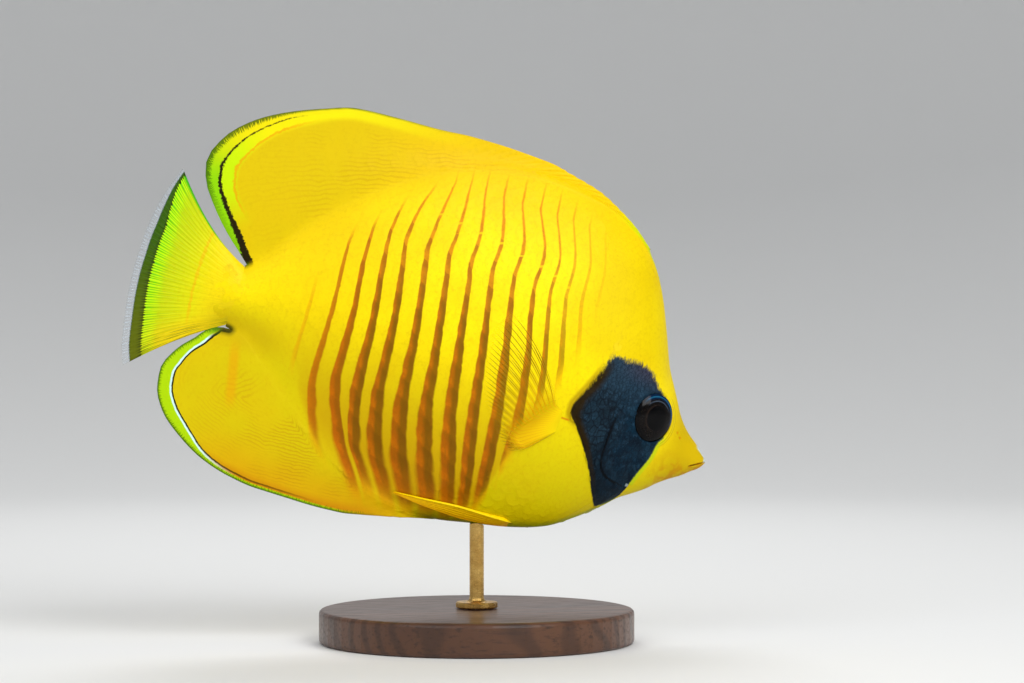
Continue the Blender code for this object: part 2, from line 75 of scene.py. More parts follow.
HALF_WIDTH = [(0, 0.9), (0.6, 1.5), (1.5, 2.1), (3, 2.7), (6, 3.5), (10, 4.6), (14, 5.9), (18, 7.6),
              (24, 10.0), (30, 12.0), (38, 13.8), (50, 15.2), (62, 15.8), (75, 15.9), (90, 15.2),
              (105, 13.6), (120, 11.4), (135, 9.0), (150, 6.6), (160, 5.0), (TAIL_BASE, 3.9)]
WIDEST_LEVEL = [(0, 0.45), (12, 0.42), (24, 0.52), (50, 0.47), (90, 0.45), (TAIL_BASE, 0.5)]
BACK_EDGE = [(0, 0.35), (30, 0.45), (40, 0.9), (60, 1.9), (110, 2.1), (150, 1.7), (TAIL_BASE, 0.9)]
BELLY_EDGE = [(0, 0.35), (80, 0.6), (95, 1.2), (120, 1.9), (150, 1.5), (TAIL_BASE, 0.8)]
BACK_POWERS, BELLY_POWERS = (1.75, 0.72), (2.2, 0.5)
GILL_EDGE = [(-34, 30.4), (-26, 32.4), (-22, 35.2), (-16.5, 38.2), (-12, 41.2), (-7, 44.6), (-2.8, 48.4),
             (1.5, 51.2), (5.5, 50.7), (12.5, 47.6), (22, 44.6), (33, 43.0), (45, 40.0), (58, 37.3),
             (66, 36.6)]
CHEEK_EDGE = [(-16.8, 23.0), (-16.0, 29.0), (-15.0, 33.2), (-12.4, 36.3), (-8, 37.3), (-1, 37.2),
              (3, 37.0), (8, 35.2), (14, 33.6)]
MOUTH_CORNER, MOUTH_RISE = (5.0, -2.75), 0.56
NOSTRILS = [(11.6, 4.9), (13.0, 6.3)]
EYE_CENTRE, EYE_RADII = (23.7, 8.2), (7.35, 8.1)
EYE_FORWARD = math.radians(20)
EYE_SUNK, CORNEA_HEIGHT, EYE_BACK = 0.5, 2.1, 2.6
EYE_FIT = 0.99               # the eye's size in its socket
RING_RADII = (6.9, 8.1)      # the fine rings round the eye are ellipses of this form

DORSAL_FRONT, DORSAL_REAR = 38.6, 166.4
DORSAL_MARGIN = [(39.4, 61.6), (46.7, 67.3), (52.9, 70.8), (62.3, 74.9), (70, 76.6), (82, 78.5),
                 (94.9, 78.7), (108.3, 78.2), (119.8, 76.9), (133.6, 76.0), (147.7, 74.6), (159.5, 70.4),
                 (171.5, 64.7), (179.9, 58.9), (186.8, 50.7), (189.4, 43.0), (187.9, 37.0), (182.5, 29.3),
                 (175, 21.6), (170.6, 18.0), (166.6, 14.6)]
DORSAL_MATCH = [(0, 0), (0.174, 0.11), (0.4, 0.27), (0.6, 0.45), (0.8, 0.65), (1, 1)]
DORSAL_LEAN = [(0, 0.03), (0.1, 0.12), (0.25, 0.18), (0.4, 0.15), (0.6, 0.11), (0.8, 0.08), (0.95, 0.02),
               (1, 0)]
DORSAL_SPINES, DORSAL_RAYS = 12, 26
ANAL_FRONT, ANAL_REAR = 82.0, 165.4
ANAL_START = (81.6, -45.5)   # where the fin's edge leaves the belly, ahead of the margin's first point
ANAL_MARGIN = [(88.6, -47.2), (93.2, -48.5), (99.7, -50.0), (106.1, -51.5), (112.6, -52.8),
               (126.2, -53.5), (141.6, -53.5), (151.2, -52.4), (160.5, -49.9), (169.9, -45.1),
               (178.1, -38.6), (182, -31.7), (182.8, -25.5), (180.9, -20.3), (178.2, -16.2),
               (175.4, -13.2), (173.2, -10.3), (170.8, -8.3), (168.0, -7.2), (165.6, -7.0)]
ANAL_MATCH = [(0, 0), (0.25, 0.2), (0.5, 0.42), (0.75, 0.66), (1, 1)]
ANAL_LEAN = [(0, 0.03), (0.15, 0.12), (0.4, 0.12), (0.7, 0.08), (0.95, 0.02), (1, 0)]
ANAL_SPINES, ANAL_RAYS = 3, 21
TAIL_MARGIN = [(195.8, 37.7), (198.6, 29.1), (200.4, 20.0), (201.0, 11.5), (200.9, 3.0), (200.2, -5.2),
               (198.6, -14.8), (197.0, -22.3), (194.6, -28.8)]
TAIL_RAYS, TAIL_BOW = 17, (2.9, 1.5)
PECTORAL_ROOT = [(55.0, 0.4), (54.2, -2.4), (54.4, -5.9)]
PECTORAL_LOBE = [(58.2, 2.0), (61.5, -1.6), (64.2, -5.2), (66.5, -8.7), (67.1, -12.3), (62.8, -14.7)]
PECTORAL_TIPS = [(82.7, 26.0), (85.4, 21.4), (87.3, 15.3), (86.6, 8.1), (84.4, 1.3), (81.1, -4.7),
                 (76.4, -10.6), (71.8, -15.3), (67.3, -17.2)]
LOBE_SHARE, PECTORAL_BOW = 0.3, 2.6
PECTORAL_FLARE, PECTORAL_RAYS = math.radians(16), 16
PELVIC_OUTER = [(57.0, -38.4), (66, -38.7), (76, -38.9), (88, -40.0), (98.4, -41.0)]
PELVIC_INNER = [(57.8, -40.3), (67, -42.0), (77, -42.9), (87, -42.6), (98.4, -41.5)]
PELVIC_STANDOFF, PELVIC_RAYS = 1.1, 6

# The pattern. A bar's line is where it crosses each of BAR_LEVELS, and the bars between are spaced evenly.
BAR_LEVELS = (-48, -38, -30, -10, 10, 30, 38, 46, 62)
BAR_LINES = {1: (120, 126, 130, 135.9, 136.7, 137.9, 137.2, 136, 132),
             2: (107.5, 114.3, 120.2, 128.8, 130, 131.8, 131.7, 130.6, 126.3),
             3: (103.8, 110.4, 116.2, 121.4, 123.3, 125.6, 126.1, 125.2, 120.7),
             4: (97, 103.6, 108.8, 114.7, 116.6, 119.5, 120.6, 119.8, 115),
             7: (78.5, 81.2, 84.2, 90.6, 94.3, 97.2, 98.4, 97.9, 100),
             10: (65.5, 66, 66.5, 67.9, 70.9, 75.2, 76.2, 75.6, 80.8),
             13: (48.5, 49, 49.5, 51.5, 54, 58.2, 59.7, 59.7, 63.3)}
BAR_SPACING = 7.4
SCALE_COLUMNS = (1, 4, 7, 10, 13)   # the bars that the columns of scales run with
BAR_TOPS = [(0, 16), (1, 36), (2, 42), (3, 50), (4, 58), (5, 64), (7, 68), (10, 70), (12, 68), (14, 62)]
BAR_FEET = [(0, -12), (1, -34), (2, -46), (3, -44), (4, -46), (7, -46), (8, -43), (9, -37), (10, -18),
            (11, -1), (12, 8), (13, 20), (14, 36)]
BAR_STRENGTHS = [(-0.5, 0), (0, 0.45), (1, 0.9), (2, 1), (10, 1), (11, 0.9), (12, 0.7), (13, 0.5),
                 (14, 0.25), (14.5, 0)]
BAR_HALF_WIDTHS = [(-42, 2.8), (-28, 2.6), (-8, 1.88), (10, 1.4), (25, 1.05), (45, 0.62), (62, 0.4)]
CHEEK_PATCH = [(33, -25.8), (36.8, -20.6), (39.3, -16.1), (45.8, -7), (49.4, -2.6), (52.5, 0.8),
               (52.6, 3.6), (51.2, 6.9), (47.6, 14.8), (46, 19.3), (44.4, 22.6), (42.4, 23.7),
               (38.5, 23.2), (34.6, 23.7), (29.4, 22.5), (26.2, 19.4), (23.6, 17.4), (20.5, 14.8),
               (17.7, 9.5), (17.9, 3.5), (19.6, 0.2), (20.3, -3.9), (23.1, -11.7), (25.3, -19),
               (28.8, -23.2), (33, -25.8)]
LATERAL_LINE = [(58, 36.0), (64.1, 39.4), (74.5, 43.4), (83.4, 45.0), (90.6, 46.9), (98.8, 48.0),
                (105.8, 49.0), (117.7, 50.4), (124, 51.0)]
# The thin lines that run round the fins: (share of the margin, distance from it). DORSAL_LINE_HALF is half
# the black line's width.
DORSAL_LINE = [(0.6, 1.7), (0.65, 2.0), (0.7, 3.2), (0.736, 4.0), (0.783, 5.0), (0.83, 5.1), (0.854, 4.5),
               (0.883, 3.8), (0.926, 3.35), (0.955, 2.7), (0.99, 1.0)]
DORSAL_LINE_HALF = [(0.6, 0), (0.65, 0.1), (0.7, 0.17), (0.783, 0.33), (0.85, 0.56), (0.926, 0.85),
                    (0.955, 1.1), (1, 1.2)]
DORSAL_ORANGE = [(0.6, 3.4), (0.679, 5.6), (0.718, 7.3), (0.765, 9.1), (0.84, 9.8), (0.876, 8.5),
                 (0.9, 7.7), (0.93, 7.9)]
ANAL_LINE = [(0.24, 1.0), (0.5, 1.2), (0.56, 1.8), (0.61, 3.0), (0.66, 3.8), (0.71, 4.1), (0.8, 4.15),
             (0.848, 3.7), (0.879, 3.05), (0.905, 2.6), (0.924, 2.65), (0.95, 2.2), (0.973, 1.3),
             (0.985, 0.35), (1, 0.3)]

SCALE_SIZES = [(3.7, 6.4), (2.6, 4.2), (1.75, 2.7)]   # each size's length along the fish and height
SCALE_HALVES = (0.86, 0.56)     # a scale's half length and height, by the steps from one to the next
SCALE_TILT, SCALE_SINK, SCALE_HALF_THICKNESS = 0.0085, 0.004, 0.012
RIM_ANGLE = math.radians(2.5)   # a scale's rim is steeper than this against its face
FLANK_SPAN, FLANK_FOOT, BAKE_SIZE = 210, -60, 0.0015   # the flank in the bake, and a scale's size there
NO_SCALE = (0.2, 0.5, 0)     # what the bare skin holds in place of a scale's edge and shade
SEGMENT, WAVE_LENGTH = 7.6, 1.35   # from break to break in a bar, and from line to line out on the fins
BUMP_HEIGHT = 0.2 * MM
WELD = 2e-6                  # metres between points that become one
POINTS_AT_ONCE = 20000       # measured against a line together, to spare memory
BODY_ROWS, DORSAL_ROWS, ANAL_ROWS = 116, 50, 34

CAMERA_AZIMUTH = math.radians(-12)
CAMERA_DISTANCE = 0.95
CAMERA_LENS, CAMERA_SENSOR = 101, 36
AIM = (75.25, 0.0, 18.04)    # the point of the fish's frame in the middle of the picture
FLOOR_RADIUS, SWEEP_BEND, SWEEP_HEIGHT = 0.9, 0.9, 1.2
SKY_TINT, SKY_STRENGTH = (0.9, 0.93, 1, 1), 0.38


class Curve:
    """A smooth curve through (x, y) knots that never overshoots them."""

    def __init__(self, knots):
        self.x, self.y = np.array(knots, float).T
        step = np.diff(self.x)
        rise = np.diff(self.y) / step
        slope = np.zeros(len(self.x))
        slope[0], slope[-1] = rise[0], rise[-1]
        for i in range(1, len(rise)):
            if rise[i - 1] * rise[i] > 0:
                before, after = 2 * step[i] + step[i - 1], step[i] + 2 * step[i - 1]
                slope[i] = (before + after) / (before / rise[i - 1] + after / rise[i])
        self.slope = slope

    def __call__(self, x):
        x = np.clip(x, self.x[0], self.x[-1])
        i = np.clip(np.searchsorted(self.x, x) - 1, 0, len(self.x) - 2)
        width = self.x[i + 1] - self.x[i]
        t = (x - self.x[i]) / width
        return ((1 + 2 * t) * (1 - t) ** 2 * self.y[i] + t * (1 - t) ** 2 * width * self.slope[i]
                + t * t * (3 - 2 * t) * self.y[i + 1] + t * t * (t - 1) * width * self.slope[i + 1])


class Path:
    """A smooth line through points of the plane, read by its share of the whole length."""

    def __init__(self, points):
        points = np.array(points, float)
        chord = np.concatenate([[0], np.cumsum(np.linalg.norm(np.diff(points, axis=0), axis=1))])
        along = [Curve(list(zip(chord, column))) for column in points.T]
        fine = np.linspace(0, chord[-1], 40 * len(points))
        self.fine = np.stack([c(fine) for c in along], axis=1)
        length = np.concatenate([[0], np.cumsum(np.linalg.norm(np.diff(self.fine, axis=0), axis=1))])
        self.share, self.length = length / length[-1], length[-1]

    def __call__(self, share):
        return np.stack([np.interp(share, self.share, column) for column in self.fine.T], axis=-1)

    def nearest(self, b, z):
        """Distance from each point to the line, and the share of the line's length where it is nearest."""
        line, gaps, shares = self.fine[::3], [], []
        for start in range(0, len(b), POINTS_AT_ONCE):
            piece = slice(start, start + POINTS_AT_ONCE)
            away = np.hypot(b[piece, None] - line[:, 0], z[piece, None] - line[:, 1])
            at = away.argmin(axis=1)
            gaps.append(away[np.arange(len(at)), at])
            shares.append(self.share[::3][at])
        return np.concatenate(gaps), np.concatenate(shares)

    def encloses(self, b, z):
        """Which points lie inside the closed line."""
        inside = np.zeros(len(b), bool)
        line = self.fine[::3]
        for (b0, z0), (b1, z1) in zip(line, np.roll(line, -1, axis=0)):
            if z0 != z1:
                inside ^= ((z0 > z) != (z1 > z)) & (b < (b1 - b0) * (z - z0) / (z1 - z0) + b0)
        return inside


back, belly, widest = Curve(BACK), Curve(BELLY), Curve(WIDEST_LEVEL)
half_width, back_edge, belly_edge = Curve(HALF_WIDTH), Curve(BACK_EDGE), Curve(BELLY_EDGE)
gill_edge, cheek_edge = Curve(GILL_EDGE), Curve(CHEEK_EDGE)
dorsal_rim, anal_rim, tail_rim = Path(DORSAL_MARGIN), Path(ANAL_MARGIN), Path(TAIL_MARGIN)
cheek_patch = Path(CHEEK_PATCH)
dorsal_line, dorsal_line_half = Curve(DORSAL_LINE), Curve(DORSAL_LINE_HALF)
dorsal_orange, anal_line, lateral_line = Curve(DORSAL_ORANGE), Curve(ANAL_LINE), Curve(LATERAL_LINE)
bar_curves = {number: Curve(list(zip(BAR_LEVELS, line))) for number, line in BAR_LINES.items()}
bar_strength, bar_top, bar_foot = Curve(BAR_STRENGTHS), Curve(BAR_TOPS), Curve(BAR_FEET)
bar_half_width = Curve(BAR_HALF_WIDTHS)


def ease(x, low, high):
    t = np.clip((x - low) / (high - low), 0, 1)
    return t * t * (3 - 2 * t)


def past(edge, b, z):
    """How far behind an edge that runs up the fish a point lies."""
    return (b - edge(z)) / np.hypot(1, (edge(z + 0.1) - edge(z - 0.1)) / 0.2)


def to_world(points):
    """(b, y, z) rows in millimetres to metres in the part's frame."""
    b, y, z = np.asarray(points, float).T
    forward, up = ROD_PLACE - b, z - belly(ROD_PLACE)
    c, s = math.cos(NOSE_DOWN), math.sin(NOSE_DOWN)
    height = BASE_THICKNESS + ROD_HEIGHT
    return np.stack([forward * c + up * s, y, -forward * s + up * c + height], axis=-1) * MM


def to_fish(points):
    """Metres in the part's frame to (b, y, z) in millimetres."""
    x, y, z = (np.asarray(points, float) / MM).T
    z = z - BASE_THICKNESS - ROD_HEIGHT
    c, s = math.cos(NOSE_DOWN), math.sin(NOSE_DOWN)
    return np.stack([ROD_PLACE - (x * c - z * s), y, x * s + z * c + belly(ROD_PLACE)], axis=-1)


def fin_edges(b):
    """Half the skin's width where the back and the belly meet their fins, and nothing elsewhere."""
    top = back_edge(b) * ease(b, DORSAL_FRONT, DORSAL_FRONT + 3)
    foot = belly_edge(b) * ease(b, ANAL_FRONT, ANAL_FRONT + 3)
    return top * (1 - ease(b, DORSAL_REAR - 2, DORSAL_REAR)), foot * (1 - ease(b, ANAL_REAR - 2, ANAL_REAR))


def flank(b, z):
    """Half of the flesh's width at (b, z)."""
    low, high, mid = belly(b), back(b), widest(b)
    t = np.clip((z - low) / (high - low), 0, 1)
    above = t > mid
    off = np.where(above, (t - mid) / (1 - mid), (mid - t) / mid)
    slim = ease(b, 82, 108)      # over the anal fin the flesh runs out into the fin without an edge
    power = np.where(above, BACK_POWERS[0], BELLY_POWERS[0] + (1.8 - BELLY_POWERS[0]) * slim)
    root = np.where(above, BACK_POWERS[1], BELLY_POWERS[1] + (1.3 - BELLY_POWERS[1]) * slim)
    body = half_width(b) * np.maximum(0, 1 - off ** power) ** root
    top, foot = fin_edges(b)
    return np.hypot(body, foot + (top - foot) * ease(t, 0, 1))


def eye_distance(b, z):
    """1 on the rim of the eye, less inside."""
    half_length = EYE_RADII[0] * math.cos(EYE_FORWARD)
    return np.hypot((b - EYE_CENTRE[0]) / half_length, (z - EYE_CENTRE[1]) / EYE_RADII[1])


def relief(b, z):
    """How far the face's forms stand off the plain flank."""
    behind = b - gill_edge(z)
    cover = GILL_FLARE * ease(behind, -11, -0.3) * (1 - ease(behind, -0.3, 0.5))
    cover = cover * ease(z, -27, -15) * (1 - ease(z, 18, 34))
    behind = past(cheek_edge, b, z)
    cheek = 0.35 * ease(behind, -9, -0.4) * (1 - ease(behind, -0.4, 0.5))
    cheek = cheek - 0.25 * np.exp(-((behind - 0.5) / 0.5) ** 2)
    cheek = cheek * ease(b, 24, 30) * (1 - ease(z, 5, 12))
    line = MOUTH_CORNER[1] + (MOUTH_CORNER[0] - b) * MOUTH_RISE
    mouth = 1 - ease(b, 4.2, 6.6)
    lips = 0.32 * np.exp(-((z - line) / 1.1) ** 2) * mouth
    lips = lips - 0.75 * np.exp(-((z - line) / 0.24) ** 2) * (1 - ease(b, 4.9, 5.8))
    around = eye_distance(b, z)
    eye = 0.5 * np.exp(-((around - 1.13) / 0.07) ** 2) - 1.4 * (1 - ease(around, 0.9, 1.06))
    noses = sum(0.1 * np.exp(-((r - 0.85) / 0.3) ** 2) - 0.45 * np.exp(-(r / 0.45) ** 2)
                for r in (np.hypot(b - nb, z - nz) for nb, nz in NOSTRILS))
    return cover + cheek + lips + eye + noses


def ray_ridge(s, rays):
    """1 on a ray and 0 midway between two."""
    return 0.5 + 0.5 * np.cos(2 * np.pi * (s * rays - 0.5))


class BackFin:
    """The sheet of the dorsal or the anal fin, by its share s along the root and v from root to margin."""

    def __init__(self, edge, front, rear, rim, match, lean, spines, rays, top):
        self.edge, self.rim, self.match, self.lean, self.top = edge, rim, Curve(match), Curve(lean), top
        self.spines, self.count = spines, spines + rays
        self.b = np.linspace(front, rear, 400)
        length = np.cumsum(np.hypot(np.gradient(self.b), np.gradient(edge(self.b))))
        self.share = (length - length[0]) / (length[-1] - length[0])

    def share_at(self, b):
        return np.interp(b, self.b, self.share)

    def place(self, s, v):
        at = np.interp(np.minimum(1, s + v * self.lean(s)), self.share, self.b)
        near, far = np.stack([at, self.edge(at)], axis=-1), self.rim(self.match(s))
        notch = 0.014 * (1 - ray_ridge(s, self.count)) * ease(v, 0.9, 1) * (s < self.spines / self.count)
        return near + (far - near) * (v - notch)[..., None]

    def half(self, s, v):
        root = fin_edges(np.interp(s, self.share, self.b))[0 if self.top else 1]
        ends = ease(s, 0, 0.012) * (1 - ease(s, 0.988, 1)) * np.sqrt(np.maximum(0, 1 - v ** 40))
        ray = ray_ridge(s, self.count) * np.where(s < self.spines / self.count, 0.4, 0.12)
        web = 0.16 + ray * ease(v, 0.1, 0.5) * (1.2 - 0.7 * v)
        return root * (1 - v) ** 1.6 + web * ease(v, 0, 0.2) * ends


dorsal = BackFin(back, DORSAL_FRONT, DORSAL_REAR, dorsal_rim, DORSAL_MATCH, DORSAL_LEAN, DORSAL_SPINES,
                 DORSAL_RAYS, True)
anal = BackFin(belly, ANAL_FRONT, ANAL_REAR, Path([ANAL_START] + ANAL_MARGIN), ANAL_MATCH, ANAL_LEAN,
               ANAL_SPINES, ANAL_RAYS, False)


def bar_phase(b, z):
    """Which bar a point lies on: a whole number on each bar's line, counted from the tail."""
    numbers = sorted(BAR_LINES)
    lines = [bar_curves[n](z) for n in numbers]
    phase = numbers[0] + (lines[0] - b) / BAR_SPACING
    for n, here, ahead, gap in zip(numbers, lines, lines[1:], np.diff(numbers)):
        phase = np.where(b < here, n + gap * (here - b) / (here - ahead), phase)
    return phase




def pattern_fields(b, z):
    """The smooth fields that the fish's colours are drawn from, one row of three numbers for each point."""
    phase = bar_phase(b, z)
    strength = bar_strength(phase) * ease(z, bar_foot(phase) - 5, bar_foot(phase) + 8)
    strength = strength * (1 - ease(z, bar_top(phase) - 6, bar_top(phase) + 3))
    patch, share = np.full(len(b), -20.0), b < 62
    patch[share] = cheek_patch.nearest(b[share], z[share])[0]
    patch[share] *= np.where(cheek_patch.encloses(b[share], z[share]), 1, -1)
    above, under = dorsal_rim.nearest(b, z), anal_rim.nearest(b, z)
    width = bar_half_width(z) / BAR_SPACING * (0.35 + 0.65 * ease(phase, -0.3, 3.2))
    return {"place": np.stack([b, z, (z - belly(b)) / (back(b) - belly(b))], axis=1),
            "bars": np.stack([phase, width, strength], axis=1),
            "cheek": np.stack([patch, past(gill_edge, b, z), past(cheek_edge, b, z)], axis=1),
            "dorsal_rim": np.stack([*above, z - back(b)], axis=1),
            "dorsal_lines": np.stack([above[0] - dorsal_line(above[1]), dorsal_line_half(above[1]),
                                      above[0] - dorsal_orange(above[1])], axis=1),
            "anal_rim": np.stack([*under, belly(b) - z], axis=1),
            "anal_lines": np.stack([under[0] - anal_line(under[1]), ease(under[1], 0.45, 0.58),
                                    z - lateral_line(b)], axis=1)}


def write_fields(mesh, fields):
    for name, rows in fields.items():
        layer = mesh.attributes.new(name, "FLOAT_VECTOR", "POINT")
        layer.data.foreach_set("vector", np.ascontiguousarray(rows, np.float32).ravel())


def points_of(mesh):
    points = np.empty(len(mesh.vertices) * 3, np.float32)
    mesh.vertices.foreach_get("co", points)
    return points.reshape(-1, 3)


def add_sheet(bm, columns, rows, place):
    """One grid, laid out by place, which takes arrays of two shares from 0 to 1 and gives (b, y, z)."""
    made = bmesh.ops.create_grid(bm, x_segments=columns, y_segments=rows, size=0.5)["verts"]
    shares = np.clip(np.array([v.co for v in made])[:, :2] + 0.5, 0, 1)
    for vert, spot in zip(made, to_world(place(*shares.T))):
        vert.co = spot
    return list(zip(made, shares))


def finish_piece(bm, name, finish, stands_for=()):
    """Closes and smooths a mesh, and hands it over as a piece of the part."""
    bmesh.ops.remove_doubles(bm, verts=bm.verts, dist=WELD)
    bmesh.ops.recalc_face_normals(bm, faces=bm.faces)
    mesh = bpy.data.meshes.new(name)
    bm.to_mesh(mesh)
    bm.free()
    mesh.shade_smooth()
    return hand_over(mesh, name, finish, stands_for)


def hand_over(mesh, name, finish, stands_for=()):
    mesh.materials.append(finish)
    piece = bpy.data.objects.new(name, mesh)
    bpy.context.scene.collection.objects.link(piece)
    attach(piece, BODY)
    if stands_for:
        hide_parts(*stands_for)
    return piece


BODY = next(iter(frame["bodies"]))


class Field:
    """A number or a colour that changes over a surface: a node's output. Arithmetic on it adds nodes."""

    def __init__(self, graph, socket):
        self.graph, self.socket = graph, socket

    def __add__(self, other):
        return self.graph.math("ADD", self, other)

    def __sub__(self, other):
        return self.graph.math("SUBTRACT", self, other)

    def __rsub__(self, other):
        return self.graph.math("SUBTRACT", other, self)

    def __mul__(self, other):
        return self.graph.math("MULTIPLY", self, other)

    def __truediv__(self, other):
        return self.graph.math("DIVIDE", self, other)

    def __pow__(self, other):
        return self.graph.math("POWER", self, other)

    def __abs__(self):
        return self.graph.math("ABSOLUTE", self)

    __radd__, __rmul__ = __add__, __mul__

    def rise(self, low, high, start=0, end=1):
        """Smoothly from start, where the field is low, to end, where it is high."""
        values = {"Value": self, "From Min": low, "From Max": high, "To Min": start, "To Max": end}
        return self.graph.node("ShaderNodeMapRange", values, interpolation_type="SMOOTHSTEP")

    def band(self, centre, half, soft):
        """1 within half of centre, fading to 0 over soft."""
        return 1 - (abs(self - centre) - half).rise(0, soft)

    def paint(self, *layers):
        """This colour under layers of others, each with its share: 1 hides what lies beneath it."""
        painted = self
        for tint, share in layers:
            painted = self.graph.mix(share, painted, tint)
        return painted


class Graph:
    """Short words for laying out the nodes of a material or a group."""

    def __init__(self, tree):
        self.tree = tree

    def feed(self, node, values):
        """Links fields to the node's inputs of these names, and sets inputs to plain values."""
        for name, value in values.items():
            if isinstance(value, Field):
                self.tree.links.new(value.socket, node.inputs[name])
            else:
                node.inputs[name].default_value = value

    def node(self, kind, values, output=0, **settings):
        """A new node's output as a field, or a list of them where output is a tuple."""
        made = self.tree.nodes.new(kind)
        for name, value in settings.items():
            setattr(made, name, value)
        self.feed(made, values)
        if isinstance(output, tuple):
            return [Field(self, made.outputs[name]) for name in output]
        return Field(self, made.outputs[output])

    def math(self, operation, *values):
        return self.node("ShaderNodeMath", dict(enumerate(values)), operation=operation)

    def hypot(self, x, y):
        return self.math("SQRT", x ** 2 + y ** 2)

    def wave(self, turns):
        """1 at whole turns and -1 midway."""
        return self.math("COSINE", turns * (2 * math.pi))

    def mix(self, share, a, b):
        a, b = (colour(*tint) if isinstance(tint, tuple) else tint for tint in (a, b))
        return self.node("ShaderNodeMix", {0: share, 6: a, 7: b}, 2, data_type="RGBA")

    def noise(self, vector, scale, detail=2, rough=0.5):
        values = {"Vector": vector, "Scale": scale, "Detail": detail, "Roughness": rough}
        return self.node("ShaderNodeTexNoise", values)

    def cells(self, vector, scale, feature, output=0):
        values = {"Vector": vector, "Scale": scale}
        return self.node("ShaderNodeTexVoronoi", values, output, feature=feature)

    def bump(self, height, strength):
        values = {"Height": height, "Strength": strength, "Distance": BUMP_HEIGHT}
        return self.node("ShaderNodeBump", values)

    def split(self, vector):
        return self.node("ShaderNodeSeparateXYZ", {0: vector}, (0, 1, 2))

    def join(self, x=0, y=0, z=0):
        return self.node("ShaderNodeCombineXYZ", {0: x, 1: y, 2: z})

    def numbers(self, name):
        """The three numbers that the mesh holds at each point under this name."""
        return self.split(self.node("ShaderNodeAttribute", {}, "Vector", attribute_name=name))

    def object_place(self):
        return self.node("ShaderNodeTexCoord", {}, "Object")


def colour(red, green, blue):
    """A display colour, 0 to 255, as a linear one."""
    parts = [c / 255 for c in (red, green, blue)]
    return (*[c / 12.92 if c <= 0.04045 else ((c + 0.055) / 1.055) ** 2.4 for c in parts], 1.0)


def group(name, inputs, outputs):
    """An empty node group with these sockets: its graph, its inputs as fields, and its output node."""
    tree = bpy.data.node_groups.new(name, "ShaderNodeTree")
    for direction, sockets in (("INPUT", inputs), ("OUTPUT", outputs)):
        for socket, kind in sockets.items():
            tree.interface.new_socket(socket, in_out=direction, socket_type="NodeSocket" + kind)
    g = Graph(tree)
    return g, g.node("NodeGroupInput", {}, tuple(inputs)), tree.nodes.new("NodeGroupOutput")


